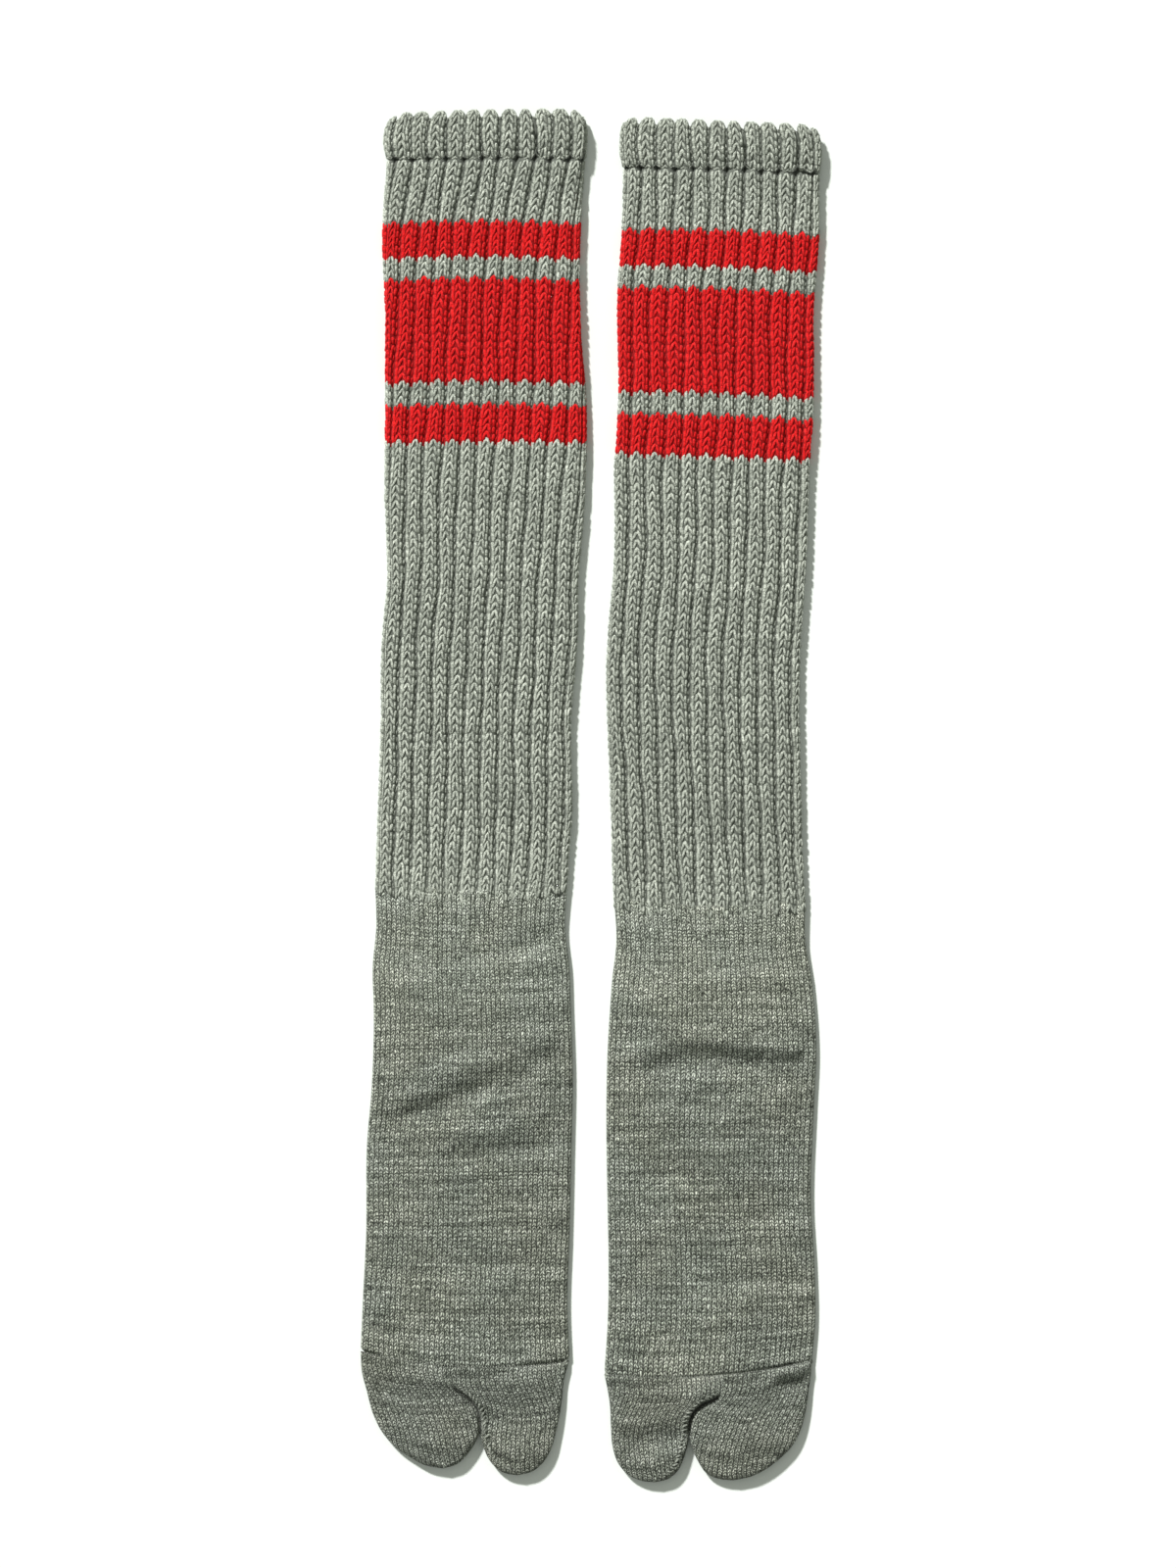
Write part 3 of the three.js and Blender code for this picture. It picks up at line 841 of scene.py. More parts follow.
def fine_knit(name, dark, mid, pale):
    nodes = Nodes(name)
    place = nodes.object_place()
    drift = nodes.add("ShaderNodeTexNoise", Vector=place, Scale=KNIT_WANDER_SCALE, Detail=1.0).outputs[1]
    drift = nodes.add("ShaderNodeSeparateXYZ", i0=drift)
    split = nodes.add("ShaderNodeSeparateXYZ", i0=nodes.uv())
    aside, ahead = [nodes.math("SUBTRACT", drift.outputs[axis], 0.5) for axis in (0, 1)]
    wale = nodes.math("MULTIPLY_ADD", aside, 0.7, split.outputs[0])
    up = nodes.math("MULTIPLY_ADD", ahead, 1.4, split.outputs[1])
    up = nodes.math("MULTIPLY", up, -1.0)
    double = nodes.math("MULTIPLY", wale, 2.0)
    whole = nodes.math("FRACT", wale)
    middle = nodes.math("ABSOLUTE", nodes.math("MULTIPLY_ADD", whole, 2.0, -1.0))
    stagger = nodes.math("MULTIPLY_ADD", middle, 0.85, up)
    strand = nodes.wave(nodes.math("FRACT", double))
    wale_side = nodes.math("POWER", nodes.wave(whole), 0.6)
    along = nodes.wave(nodes.math("FRACT", stagger))
    lobe = nodes.math("MULTIPLY_ADD", strand, 0.7, 0.3)
    lobe = nodes.math("MULTIPLY", lobe, nodes.math("MULTIPLY_ADD", wale_side, 0.85, 0.15))
    lobe = nodes.math("MULTIPLY", lobe, nodes.math("MULTIPLY_ADD", along, 0.95, 0.05))

    cell = nodes.join(nodes.math("FLOOR", double), nodes.math("FLOOR", stagger))
    chance = nodes.add("ShaderNodeTexWhiteNoise", Vector=cell).outputs[0]
    long_way = nodes.join(nodes.math("MULTIPLY", wale, 0.06), nodes.math("MULTIPLY", up, 0.85), 0.37)
    short_way = nodes.join(nodes.math("MULTIPLY", wale, 0.3), up, 0.37)
    streak = nodes.noise(long_way, 1.0, detail=2.0, roughness=0.6)
    dash = nodes.noise(short_way, 1.0, detail=1.0)
    fibre = nodes.noise(place, 2400.0, detail=2.0)
    speck = nodes.ramp(nodes.noise(place, 950.0, detail=2.0, roughness=0.7), 0.28, 0.58)
    streak = nodes.ramp(streak, 0.3, 0.7)
    level = nodes.math("MULTIPLY", streak, 0.20)
    level = nodes.math("MULTIPLY_ADD", nodes.ramp(dash, 0.3, 0.7), 0.16, level)
    level = nodes.math("MULTIPLY_ADD", chance, 0.30, level)
    level = nodes.math("MULTIPLY_ADD", nodes.ramp(fibre, 0.3, 0.7), 0.34, level)
    lower = nodes.mix(nodes.ramp(level, 0.08, 0.48), dark, mid)
    colour = nodes.mix(nodes.ramp(level, 0.40, 0.80), lower, pale)
    # Painted shade: the colour is multiplied down in the gaps between the lobes. Random specks and the
    # heather streaks darken it too.
    light = nodes.math("MULTIPLY_ADD", lobe, 1 - GAP_LIGHT, GAP_LIGHT)
    light = nodes.math("MULTIPLY", light, nodes.math("MULTIPLY_ADD", speck, 0.93, 0.28))
    y = nodes.add("ShaderNodeSeparateXYZ", i0=place).outputs[1]
    worn = nodes.ramp(y, *FADE_FROM_TO)
    streaked = nodes.math("MULTIPLY_ADD", worn, -0.20, 0.38)
    streaked = nodes.math("MULTIPLY", nodes.math("SUBTRACT", streak, 0.5), streaked)
    light = nodes.math("MULTIPLY", light, nodes.math("ADD", streaked, 1.0))
    colour = nodes.mix(1.0, colour, light, blend="MULTIPLY")
    patch = nodes.ramp(nodes.noise(place, 28.0, detail=2.0), 0.35, 0.65)
    colour = nodes.mix(1.0, colour, nodes.mix(patch, PATCH_COOL, PATCH_WARM), blend="MULTIPLY")
    colour = nodes.mix(1.0, colour, nodes.mix(worn, FADED, shade(1, 1, 1)), blend="MULTIPLY")
    height = nodes.math("MULTIPLY_ADD", fibre, 0.15, lobe)
    return finish_yarn(nodes, colour, height, 0.8 * MM)


foot_knit = fine_knit("fine foot knit", *FINE_SHADES)
toe_knit = fine_knit("toe knit", *darker(FINE_SHADES, TOE_SHARE))
seam_yarn = stitch_yarn("seam yarn", *darker(GREY_SHADES, SEAM_SHARE))
print("fine knit:", foot_knit.name, "and", toe_knit.name)

# %% [markdown]
# ## The foot
#
# The foot is a thin tube pressed flat. It was never pressed quite smooth: a few soft
# folds and hollows cross it, most of them short and slanting. Each is written as a
# line with a width and a height, and the cloth is raised or sunk along it with a soft
# bell shape. The underside has fainter ones of the same kind, sunk only, so that it
# still lies on the floor. The leg's ribs run out softly just below the ankle.

# %% Soft folds
# x1, y1, x2, y2, half width, height, all in mm
LEFT["folds"] = [
    (-92, -150, -50, -135, 4.6, -2.1),
    (-50, -135, -30, -129, 4.6, -1.3),
    (-84, -136, -22, -112, 6.0, 1.3),
    (-62, -166, -20, -160, 4.2, -1.4),
    (-60, -155, -26, -147, 5.0, 0.7),
    (-94, -143, -84, -150, 5.0, -0.9),
    (-34, -70, -16, -63, 4.6, -1.3),
    (-62, -76, -50, -74, 6.0, -0.5),
    (-84, -100, -70, -92, 7.0, -0.4),
    (-90, -190, -60, -186, 6.0, -0.4),
    (-44, -214, -22, -208, 6.0, -0.4),
]
RIGHT["folds"] = [
    (18, -118.5, 46, -111.5, 4.2, 1.4),
    (46, -111.5, 96, -115, 4.4, 2.3),
    (30, -124.5, 46, -120.5, 4.2, -1.7),
    (46, -120.5, 78, -122.5, 4.2, -1.9),
    (80, -123.5, 98, -121, 3.0, -1.3),
    (24, -94, 70, -92, 6.0, -0.4),
    (76, -149, 94, -153, 5.0, -0.8),
    (24, -176, 42, -173, 4.2, -0.9),
    (76, -191, 98, -187, 4.5, -0.9),
    (26, -210, 58, -214, 4.5, -0.9),
    (62, -219, 94, -221, 4.5, -0.7),
    (40, -140, 66, -136, 7.0, 0.4),
    (30, -235, 60, -238, 6.0, -0.4),
]

# x and how far the toe seam turns in, in mm
LEFT["curl"] = [(-106, 1.7), (-98, 1.7), (-94, 0.2), (-70, 0.1), (-36, 0.2), (-31, 1.5), (-10, 1.7)]
RIGHT["curl"] = [(6, 0.7), (20, 0.5), (46, 0.5), (56, 1.5), (92, 1.5), (96, 0.6), (101, 0.5)]

# The folds of the underside, like those above
LEFT["under_folds"] = [
    (-86, -100, -50, -118, 7.0, -1.0),
    (-60, -150, -24, -160, 6.0, -0.8),
    (-90, -196, -62, -204, 7.0, -0.7),
    (-40, -226, -22, -222, 6.0, -0.6),
]
RIGHT["under_folds"] = [
    (20, -98, 62, -112, 6.0, -1.0),
    (52, -140, 92, -132, 7.0, -0.8),
    (24, -184, 48, -192, 6.0, -0.7),
    (66, -222, 90, -228, 6.0, -0.6),
]


# %% Foot
WALES = 84
FINE_COURSE = 1.64 * MM
FOOT_CLOTH = 0.9 * MM
FOOT_TUCK = 3
FOOT_COLUMN = 1.6 * MM
FOLD_RISE = 1.5
FOLD_DEEPEST = 2.9 * MM
CURL_REACH = 2.4 * MM
ANKLE_RIB = 1.3 * MM


def foot_wall(along, top):
    """The foot is a little thicker just under the ribs."""
    return FOOT_WALL + 0.3 * MM * smooth(along, top - 25 * MM, top)


def fold_columns(rows, wall, along, per_fold=8):
    """Columns round the tube, close together on the two side folds."""
    length = tube_length(rows, wall, along)
    quarter = math.pi * (wall + LAYER_GAP / 2) / 2 / length
    steps = round((0.5 - 2 * quarter) * length / FOOT_COLUMN)
    top = np.linspace(quarter, 0.5 - quarter, steps + 1)
    east = np.linspace(0.5 - quarter, 0.5 + quarter, per_fold + 1)[1:]
    below = np.linspace(0.5 + quarter, 1 - quarter, steps + 1)[1:]
    west = np.linspace(1 - quarter, 1 + quarter, per_fold + 1)[1:]
    return np.concatenate([top, east, below, west])


def seam_curl(sock, x):
    """How far the cloth turns in at the toe seam. It varies along the seam."""
    table = np.array(sock["curl"]) * MM
    return np.interp(x, table[:, 0], table[:, 1])


def foot_point(sock, wale, along, depth=0.0):
    top = sock["foot"][0][0] * MM
    wall = foot_wall(along, top)
    around = wale / WALES
    flat = wrap(sock["foot"], wall, around, along, 0.0)
    half = around % 1.0
    over = soft_lines(sock["folds"], flat[..., 0], flat[..., 1])
    under = soft_lines(sock["under_folds"], flat[..., 0], flat[..., 1])
    inside = smooth(np.minimum(half, np.abs(half - 0.5)), 0.015, 0.06)
    rise = FOLD_RISE * np.where(half < 0.5, over, np.minimum(under, 0)) * inside
    rise = np.maximum(rise, -FOLD_DEEPEST)
    seam = sock["foot"][-1][0] * MM
    curl = seam_curl(sock, flat[..., 0]) * (1 - smooth(along, seam, seam + CURL_REACH)) ** 2
    rib = around * RIBS_ROUND - sock["rib_start"]
    ribbed = ANKLE_RIB * smooth(along, top - 34 * MM, top) * (1 - np.cos(2 * math.pi * rib)) / 2
    return wrap(sock["foot"], wall, around, along, depth - rise + curl + ribbed)


def make_foot(sock):
    name = sock["name"]
    top = sock["foot"][0][0] * MM
    bottom = sock["foot"][-1][0] * MM
    courses = (top - bottom) / FINE_COURSE
    near_seam = np.linspace(courses, courses - 2, 6)[:-1]
    rows = np.concatenate([near_seam, np.linspace(courses - 2, -FOOT_TUCK, 92)])
    columns = fold_columns(sock["foot"], FOOT_WALL, -0.15) * WALES

    def place(wale, course):
        return foot_point(sock, wale, top - course * FINE_COURSE)

    sheet = grid_mesh(f"{name}_foot_cloth", columns, rows, place)
    thicken(sheet, FOOT_CLOTH)
    sheet.data.materials.append(foot_knit)
    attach(sheet, "root")
    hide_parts(f"{name}_foot")
    print(name, "foot:", round(courses), "courses,", len(sheet.data.polygons), "faces")


for sock in SOCKS:
    make_foot(sock)

# %% [markdown]
# ## The toe
#
# The toe has a pocket for the big toe and one for the other four. Each pocket is a
# flat bag with a rounded edge. Its outline runs from the toe seam round the tip to the
# place where the two pockets part, and from there a closed slit goes up between them.
# Both pockets share the points of the slit, so the toe is one closed cloth, and the
# slit is a groove that begins softly and grows deeper toward the gap. At the bottom of
# the groove the two layers are drawn together, and there the thickness of the upper
# one reaches a little below the under one in a few places.

# %% Toe outlines
# x, y in mm. outer runs from the seam to the tip, inner from the tip to the gap.
# The slit runs from the seam to the gap, and the first pocket is the western one.
LEFT["pockets"] = [
    {
        "outer": [(-106, -254.8), (-105.5, -264), (-103.2, -273), (-100.3, -283.5), (-96, -292),
                  (-90, -298.7), (-83.5, -303.2), (-76.5, -306.9), (-68, -308.5)],
        "inner": [(-68, -308.5), (-61.5, -306.4), (-56.5, -301.5), (-53.2, -296.5), (-51, -292)],
    },
    {
        "outer": [(-10.2, -259.2), (-12.6, -268.5), (-13.6, -278), (-15, -286.5), (-16.5, -293),
                  (-18.2, -299), (-21.5, -305), (-27, -309.8), (-34, -311.6)],
        "inner": [(-34, -311.6), (-40.4, -310.3), (-44.8, -307.2), (-47.9, -302.8), (-49.7, -298),
                  (-51, -292)],
    },
]
LEFT["slit"] = [(-67, -261.7), (-67, -265.5), (-65, -269.5), (-60.8, -273.3), (-55.6, -277.2),
                (-52.2, -282), (-51, -287), (-51, -292)]
LEFT["slit_start"] = 8.0
LEFT["ridge_start"] = 16.0
LEFT["big"] = 1
LEFT["slit_round"] = (1.8, 2.2)
RIGHT["pockets"] = [
    {
        "outer": [(6, -265.3), (7.2, -271), (8.5, -279), (9, -289), (9.8, -298.5), (12, -305.5),
                  (16.5, -311), (23.5, -314.2), (29.5, -314.8)],
        "inner": [(29.5, -314.8), (36, -313), (40.2, -309), (43, -302.5), (44.5, -297), (45, -291.5)],
    },
    {
        "outer": [(101.5, -258.8), (101, -265.5), (100.2, -271), (99.3, -278), (98, -285), (96, -291.5),
                  (92.5, -298), (87.5, -303.3), (81, -308.4), (74, -312), (65.5, -313.9)],
        "inner": [(65.5, -313.9), (59, -313.3), (53, -310.8), (49.2, -305.5), (46.6, -300), (45.2, -295),
                  (45, -291.5)],
    },
]
RIGHT["slit"] = [(61, -264.8), (61.2, -270), (60, -274), (56.8, -276.8), (51.5, -279.2), (47.2, -282.8),
                 (45.2, -287.3), (45, -291.5)]
RIGHT["slit_start"] = 8.5
RIGHT["ridge_start"] = 11.0
RIGHT["big"] = 0
RIGHT["slit_round"] = (2.4, 2.8)

# Soft folds of the toes, as on the foot
LEFT["toe_folds"] = [
    (-96, -273, -60, -275, 5.5, -0.9),
    (-84, -288, -66, -286, 7.0, 0.6),
    (-44, -284, -28, -283, 5.0, -0.8),
    (-17, -262, -14, -270, 4.0, -0.8),
    (-65.5, -272, -60, -275, 2.6, -1.6),
    (-62, -274, -56, -278.5, 2.0, -3.2),
    (-62, -266, -50, -277, 2.4, 1.1),
    (-40, -268, -24, -266, 6.0, 0.6),
]
RIGHT["toe_folds"] = [
    (22, -297, 38, -295, 5.5, -2.5),
    (14, -286, 38, -284, 5.0, 1.3),
    (62, -288, 82, -292, 8.0, 1.6),
    (64, -301, 84, -298, 5.0, -0.5),
    (88, -271.3, 102, -269.2, 3.4, -2.8),
    (85, -264.3, 100, -262.0, 2.8, 2.2),
    (57, -276.6, 51, -279.4, 1.8, -1.8),
    (54, -270, 42, -279, 3.0, 0.8),
    (20, -275, 34, -276, 6.0, 0.5),
]
TOE_ROWS = 54
SLIT_ROWS = 31
POCKET_COLUMNS = 22
POCKET_WIDTH = 50 * MM
TOE_LENGTH = 50 * MM
TOE_WALE = 2.2 * MM
TOE_COURSE = 1.6 * MM

# The radius of the round edge at the seam and at the tips, and how far the tips lift
TOE_EDGE = (1.8 * MM, 2.4 * MM)
TOE_LIFT = 1.3 * MM
PUFF = 0.9 * MM
PUFF_REACH = 16 * MM
FOLD_FADE = 3 * MM

# The slit opens over this length. The big toe's side stands up as a lip.
SLIT_OPENS_OVER = 7
BIG_TOE_LIP = 1.2 * MM
OTHER_LIP = -0.2 * MM
LIP_REACH = 4 * MM


def smooth_path(points, count):
    """Points at equal steps along a smooth curve through a few given ones, in metres."""
    given = np.array(points, float) * MM
    reach = np.concatenate([[0], np.cumsum(np.linalg.norm(np.diff(given, axis=0), axis=1))])
    fine = np.linspace(0, reach[-1], 400)
    curve = np.stack([through(reach, given[:, axis], fine) for axis in (0, 1)], axis=1)
    length = np.concatenate([[0], np.cumsum(np.linalg.norm(np.diff(curve, axis=0), axis=1))])
    even = np.linspace(0, length[-1], count)
    return np.stack([np.interp(even, length, curve[:, axis]) for axis in (0, 1)], axis=1)


def nearest(path, x, y):
    """Distance to a path, and how far along it the nearest point is."""
    starts, steps = path[:-1], np.diff(path, axis=0)
    spans = np.linalg.norm(steps, axis=1)
    reach = np.concatenate([[0], np.cumsum(spans)])
    dx = x[..., None] - starts[:, 0]
    dy = y[..., None] - starts[:, 1]
    share = np.clip((dx * steps[:, 0] + dy * steps[:, 1]) / spans**2, 0, 1)
    away = np.hypot(dx - share * steps[:, 0], dy - share * steps[:, 1])
    best = away.argmin(axis=-1)[..., None]
    distance = np.take_along_axis(away, best, -1)[..., 0]
    along = reach[best[..., 0]] + np.take_along_axis(share * spans, best, -1)[..., 0]
    return distance, along


def bank(distance, radius):
    """The height of a soft bank, from 0 at its foot to 1 a radius away."""
    return np.sin(np.clip(distance / radius, 0, 1) * math.pi / 2)


def rounded(distance, radius):
    """The height of a round edge, from 0 at the edge to 1 a radius inside."""
    t = np.clip(distance / radius, 0, 1)
    return np.sqrt(1 - (1 - t) ** 2)


def seam_y(sock, x):
    """The y of the toe seam, the foot's last row."""
    y, left, right, _, tilt, bow = np.array(sock["foot"][-1]) * MM
    side = np.clip((x - (left + right) / 2) / ((right - left) / 2), -1, 1)
    return y + tilt * side + bow * (1 - side**2)


def pocket_sides(pocket):
    """A pocket's two sides: from the seam to the tip, and from the gap to the tip."""
    outer = smooth_path(pocket["outer"], TOE_ROWS)
    inner = smooth_path(pocket["inner"][::-1], TOE_ROWS - SLIT_ROWS + 1)
    return outer, inner


def edge_distance(sock, x, y):
    """Distance to the nearest edge of either pocket. It is exactly 0 on the points of
    the edges, so that the upper and the under face meet there without a crack."""
    sides = [side for pocket in sock["pockets"] for side in pocket_sides(pocket)]
    return np.min([nearest(side, x, y)[0] for side in sides], axis=0)


def toe_surface(sock, pocket, x, y):
    """Heights of the toe's upper and under face at the points x, y of one pocket."""
    slit = smooth_path(sock["slit"], SLIT_ROWS)
    edge = edge_distance(sock, x, y)
    groove, along = nearest(slit, x, y)
    seam = seam_y(sock, x)
    down = np.clip((seam - y) / TOE_LENGTH, 0, 1)
    radius = TOE_EDGE[0] + (TOE_EDGE[1] - TOE_EDGE[0]) * down
    opened = smooth(along, sock["slit_start"] * MM, (sock["slit_start"] + SLIT_OPENS_OVER) * MM)
    is_big = pocket is sock["pockets"][sock["big"]]
    side_bank = bank(groove, sock["slit_round"][0 if is_big else 1] * MM)
    full = rounded(edge, radius) * (1 - opened * (1 - side_bank))
    lip = (BIG_TOE_LIP if is_big else OTHER_LIP) * np.exp(-((groove / LIP_REACH) ** 2))
    lip = lip * opened * side_bank
    _, left, right, crown, *_ = np.array(sock["foot"][-1]) * MM
    side = np.clip((x - (left + right) / 2) / ((right - left) / 2), -1, 1)
    puff = crown * (1 - side**2) * (1 - down) + PUFF * smooth(edge, 0, PUFF_REACH) * down
    folds = soft_lines(sock["toe_folds"], x, y) * smooth(edge, 0, FOLD_FADE)
    curl = seam_curl(sock, x) * (1 - smooth(seam - y, 0, CURL_REACH)) ** 2
    lift = TOE_LIFT * down**1.5
    middle = radius + lift
    upper = middle + full * (radius + puff + folds + lip - curl)
    under = middle - full * (radius - curl)
    return upper, under


def pocket_rows(sock, pocket, across):
    """The plan points of a pocket, TOE_ROWS rows of points from the outline to the slit."""
    outer, inner = pocket_sides(pocket)
    other = np.concatenate([smooth_path(sock["slit"], SLIT_ROWS), inner[1:]])
    share = across[None, :, None]
    plan = outer[:, None] * (1 - share) + other[:, None] * share
    straight = plan[0, :, 1]
    bend = seam_y(sock, plan[0, :, 0]) - straight
    fade = np.linspace(1, 0, TOE_ROWS) ** 2
    plan[:, :, 1] += fade[:, None] * bend[None, :] * (1 - np.abs(2 * across - 1) ** 6)[None, :]
    return plan


def edge_steps(width, count):
    """Shares from 0 to 1, close together at both ends, where the edges are round."""
    near = np.array([0, 0.15, 0.45, 0.95, 1.7, 2.8]) * MM / width
    return np.concatenate([near, np.linspace(near[-1], 1 - near[-1], count)[1:-1], 1 - near[::-1]])


def mesh_edges(data, face):
    return [data.loops[loop].edge_index for loop in face.loop_indices]


def add_patch(mesh, uv, points, wales, courses, turned):
    """A grid of the given points inside a bmesh, with its knit map."""
    down, across = points.shape[:2]
    made = bmesh.ops.create_grid(mesh, x_segments=across - 1, y_segments=down - 1, size=0.5)
    verts = made["verts"]
    flat = np.array([vertex.co[:2] for vertex in verts]) + 0.5
    i = np.rint(flat[:, 0] * (across - 1)).astype(int)
    j = np.rint((1 - flat[:, 1]) * (down - 1)).astype(int)
    maps = {}
    for vertex, column, row in zip(verts, i, j):
        vertex.co = points[row, column]
        maps[vertex] = (wales[row, column], courses[row, column])
    faces = {face for vertex in verts for face in vertex.link_faces}
    for face in faces:
        for loop in face.loops:
            loop[uv].uv = maps[loop.vert]
    if turned:
        bmesh.ops.reverse_faces(mesh, faces=list(faces))


def make_toe(sock):
    name = sock["name"]
    mesh = bmesh.new()
    uv = mesh.loops.layers.uv.new("knit")
    for number, pocket in enumerate(sock["pockets"]):
        across = edge_steps(POCKET_WIDTH, POCKET_COLUMNS)
        plan = pocket_rows(sock, pocket, across)
        upper, under = toe_surface(sock, pocket, plan[..., 0], plan[..., 1])
        for level, side in ((upper, 1), (under, -1)):
            points = np.dstack([plan, level])
            spans = np.linalg.norm(np.diff(points, axis=1), axis=2)
            wales = np.pad(np.cumsum(spans, axis=1), ((0, 0), (1, 0))) / TOE_WALE
            wales = wales - wales[:, len(across) // 2][:, None]
            drops = np.linalg.norm(np.diff(points, axis=0), axis=2)
            courses = np.pad(np.cumsum(drops, axis=0), ((1, 0), (0, 0))) / TOE_COURSE
            facing = side * (1 if number == 0 else -1)
            add_patch(mesh, uv, points, wales * facing * side, courses, facing < 0)
    bmesh.ops.remove_doubles(mesh, verts=mesh.verts, dist=2e-6)
    data = bpy.data.meshes.new(f"{name}_toe_cloth")
    mesh.to_mesh(data)
    mesh.free()
    data.shade_smooth()
    sheet = bpy.data.objects.new(f"{name}_toe_cloth", data)
    bpy.context.scene.collection.objects.link(sheet)
    thicken(sheet, FOOT_CLOTH)
    sheet.data.materials.append(toe_knit)
    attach(sheet, "root")
    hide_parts(f"{name}_toe")
    uses = np.bincount([edge for face in data.polygons for edge in mesh_edges(data, face)])
    print("open edges:", int((uses == 1).sum()))


for sock in SOCKS:
    make_toe(sock)

# %% [markdown]
# ## Seams
#
# The toe is joined to the foot by a row of fine linking stitches, and the slit is
# closed by a thicker overcast seam, whose slanting stitches stand up as a narrow
# ridge along the big toe and go on down its side of the gap. At the bottom of the
# slit lies a row of nearly black strokes: painted shade, where little light reaches.

# %% Seam stitches
SLANT_CHANCE = 15
# The strip of painted shade in the slit: where it starts beyond the slit's opening in mm, how far it
# lies above the cloth, and how dark its yarn is
SLIT_SHADE_START = 3.5
SLIT_SHADE_LIFT = 0.55 * MM
SLIT_SHADE_SHARE = 0.12

# The seam's stitches bunch up where it turns over the side folds
SIDE_SWELL = 2.4


def stitch_row(name, random, path, spacing, slant, size, yarn):
    """Slanting strokes along a path of points with outward directions."""
    points, outward = path
    reach = np.concatenate([[0], np.cumsum(np.linalg.norm(np.diff(points, axis=0), axis=1))])
    places = np.arange(0.5 * spacing, reach[-1], spacing)
    count = len(places)

    def at(where, values):
        return np.stack([np.interp(where, reach, values[:, axis]) for axis in range(3)], axis=1)

    centre = at(places, points)
    way = unit(at(places + 0.2 * MM, points) - at(places - 0.2 * MM, points))
    up = unit(at(places, outward))
    side = unit(np.cross(way, up))
    turn = np.radians(slant + random.normal(0, SLANT_CHANCE, count))[:, None]
    length_way = way * np.cos(turn) + side * np.sin(turn)
    width_way = unit(np.cross(length_way, up))
    sizes = np.array(size) * MM * random.normal(1, 0.1, (count, 3)).clip(0.75, 1.25)
    sizes = sizes * (1 + SIDE_SWELL * np.abs(up[:, :1]) ** 4)
    own = 0.4 + random.uniform(-0.45, 0.45, count)
    axes = np.stack([width_way, length_way, up], axis=1) * sizes[:, :, None]
    points = centre[:, None, :] + np.einsum("pk,nkc->npc", STROKE_POINTS, axes)
    points[..., 2] = np.maximum(points[..., 2], 0.02 * MM)
    piece = stroke_mesh(name, points, own)
    piece.data.materials.append(yarn)
    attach(piece, "root")
    return piece


def seam_path(sock):
    """The line of the toe seam all round the pressed tube."""
    wales = np.linspace(0, WALES, 400)
    seam = sock["foot"][-1][0] * MM
    points = foot_point(sock, wales, np.full(400, seam), 0.0)
    inner = foot_point(sock, wales, np.full(400, seam), 1.0 * MM)
    outward = unit(points - inner)
    return points + outward * 0.15 * MM, outward


def slit_from(sock, start):
    """The part of the slit that lies more than start mm from the seam."""
    slit = smooth_path(sock["slit"], 60)
    reach = np.concatenate([[0], np.cumsum(np.linalg.norm(np.diff(slit, axis=0), axis=1))])
    return slit[reach > start * MM]


def slit_path(sock, upper_face):
    """The ridge beside the slit, on the big toe, and on down the gap."""
    pocket = sock["pockets"][sock["big"]]
    slit = slit_from(sock, sock["ridge_start"])
    gap = smooth_path(pocket["inner"][::-1], 40)[1:34]
    line = np.concatenate([slit, gap])
    way = unit(np.gradient(line, axis=0))
    toward_big = np.stack([-way[:, 1], way[:, 0]], axis=1) * (1 if sock["big"] == 1 else -1)
    inset = np.where(np.arange(len(line)) < len(slit), 2.0, 2.6) * MM
    inset = np.convolve(np.pad(inset, 5, "edge"), np.full(11, 1 / 11), "valid")
    plan = line + toward_big * inset[:, None]
    upper, under = toe_surface(sock, pocket, plan[:, 0], plan[:, 1])
    z = upper if upper_face else under
    out = np.array([0, 0, 1.0 if upper_face else -1.0])
    outward = unit(out - 0.6 * np.pad(toward_big, ((0, 0), (0, 1))))
    return np.column_stack([plan, z]) + outward * 0.1 * MM, outward


def slit_bottom(sock):
    """The line at the bottom of the slit, from where it opens to the gap."""
    line = slit_from(sock, sock["slit_start"] + SLIT_SHADE_START)
    upper, _ = toe_surface(sock, sock["pockets"][sock["big"]], line[:, 0], line[:, 1])
    return np.column_stack([line, upper + SLIT_SHADE_LIFT]), np.tile([0, 0, 1.0], (len(line), 1))
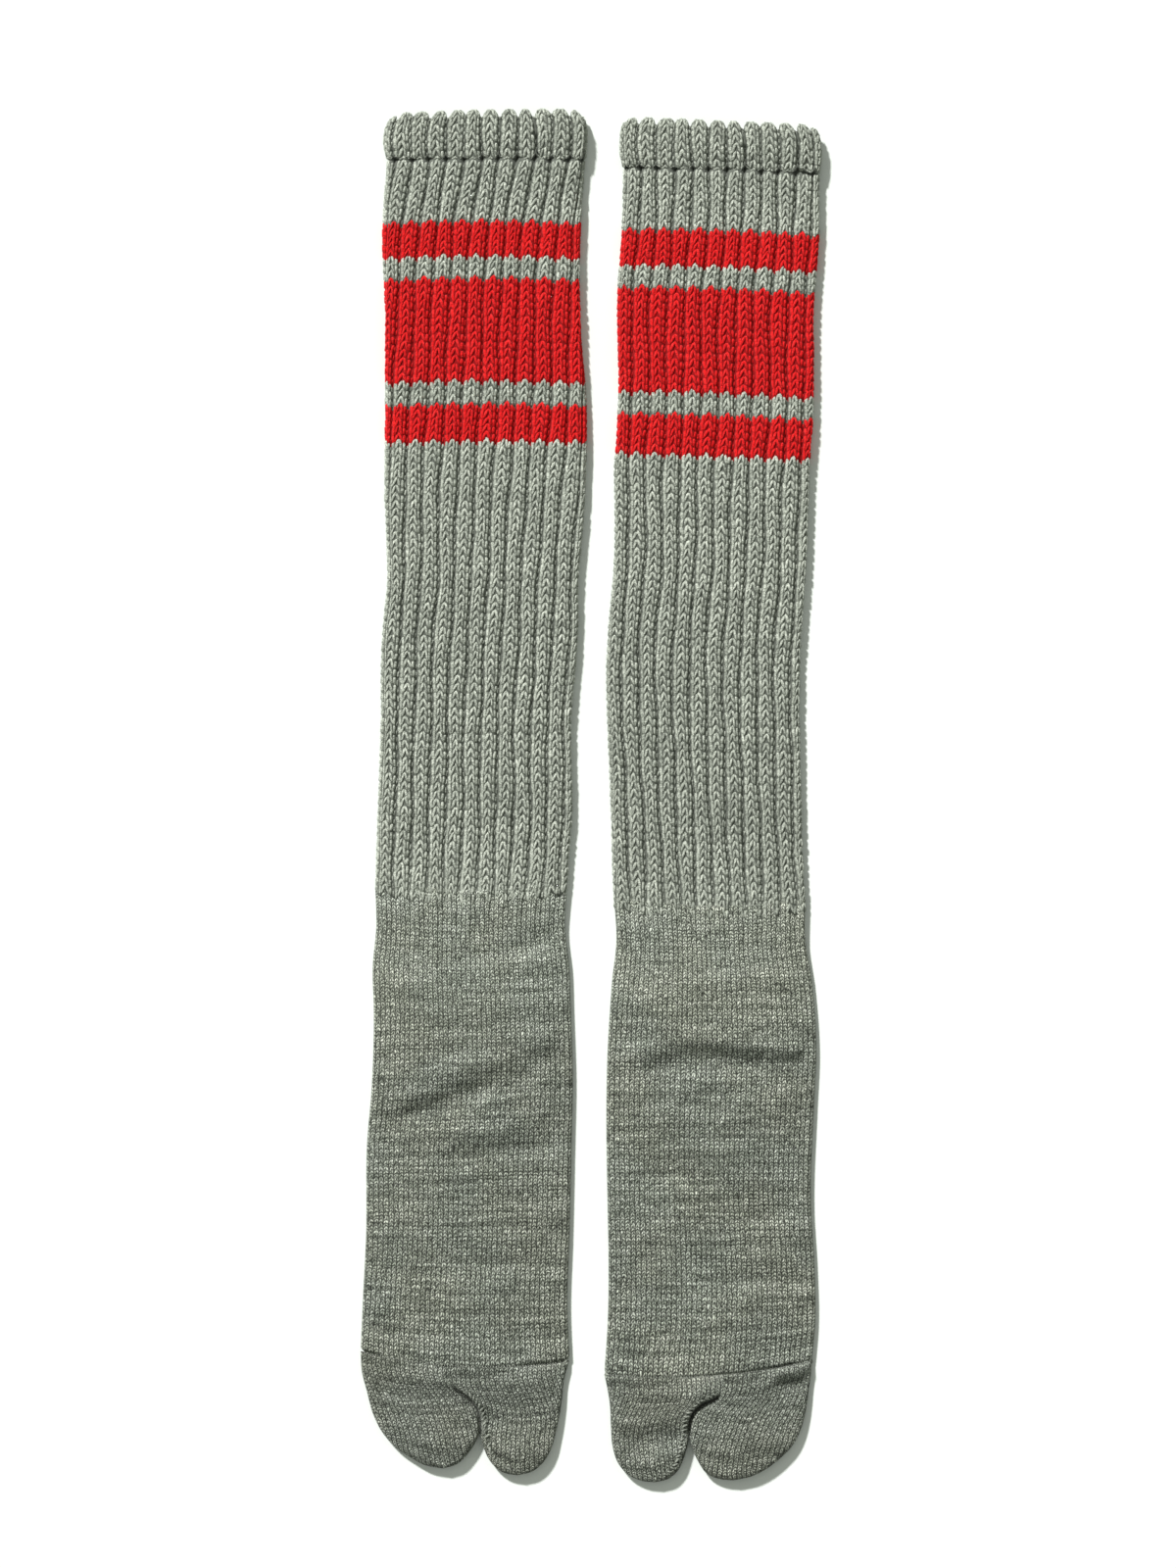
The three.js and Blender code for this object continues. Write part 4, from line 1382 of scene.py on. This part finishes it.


# Painted shade: a nearly black yarn for the strokes at the bottom of the slit
slit_shade_yarn = stitch_yarn("painted shade in the slit", *darker(GREY_SHADES, SLIT_SHADE_SHARE))
for sock in SOCKS:
    random = np.random.default_rng(13)
    # name, path, spacing in mm, slant in degrees, half width, length and thickness in mm, yarn
    rows = [
        stitch_row(f"{sock['name']}_{label}", random, path, spacing * MM, slant, size, yarn)
        for label, path, spacing, slant, size, yarn in [
            ("toe_seam", seam_path(sock), 1.25, 62, (0.30, 0.70, 0.26), seam_yarn),
            ("slit_seam", slit_path(sock, True), 2.1, 48, (0.46, 1.6, 0.6), seam_yarn),
            ("slit_seam_under", slit_path(sock, False), 2.1, 48, (0.46, 1.6, 0.5), seam_yarn),
            ("slit_painted_shade", slit_bottom(sock), 1.0, 8, (0.75, 1.1, 0.8), slit_shade_yarn),
        ]
    ]
    print(sock["name"], "seams:", sum(len(row.data.polygons) for row in rows), "triangles")

# %% [markdown]
# ## Floor and light
#
# The pair lies on a plain white floor. One strong soft lamp from the upper left gives
# the relief and the narrow shadows to the right and below, and a pale surrounding
# light fills them.

# %% Floor
FLOOR_SIDE = 6.0


def make_floor():
    mesh = bmesh.new()
    bmesh.ops.create_grid(mesh, x_segments=1, y_segments=1, size=FLOOR_SIDE / 2)
    data = bpy.data.meshes.new("floor")
    mesh.to_mesh(data)
    mesh.free()
    floor = bpy.data.objects.new("floor", data)
    bpy.context.scene.collection.objects.link(floor)
    nodes = Nodes("white floor")
    grain = nodes.noise(nodes.object_place(), 8.0, detail=2.0)
    colour = nodes.mix(grain, shade(0.77, 0.80, 0.775), shade(0.785, 0.815, 0.79))
    nodes.put(nodes.shader.inputs["Base Color"], colour)
    nodes.shader.inputs["Roughness"].default_value = 0.9
    nodes.shader.inputs["Specular IOR Level"].default_value = 0.1
    data.materials.append(nodes.material)
    floor.location.z = -0.1 * MM
    return floor


floor = make_floor()

# %% Light
SUN_STRENGTH = 5.1
SUN_ANGLE = 5.0
SUN_FROM = Vector((-0.75, 1.1, 1.0))
FILL_STRENGTH = 0.405

sun_data = bpy.data.lights.new("key", "SUN")
sun_data.energy = SUN_STRENGTH
sun_data.angle = math.radians(SUN_ANGLE)
sun_data.color = (1.0, 0.995, 0.985)
sun = bpy.data.objects.new("key", sun_data)
sun.rotation_euler = SUN_FROM.to_track_quat("Z", "Y").to_euler()
bpy.context.scene.collection.objects.link(sun)

world = bpy.data.worlds.new("fill")
world.use_nodes = True
background = world.node_tree.nodes["Background"]
background.inputs["Color"].default_value = (0.95, 1.0, 0.905, 1.0)
background.inputs["Strength"].default_value = FILL_STRENGTH
bpy.context.scene.world = world
bpy.context.scene.view_settings.view_transform = "Standard"
print("key from", [round(v, 2) for v in SUN_FROM.normalized()])
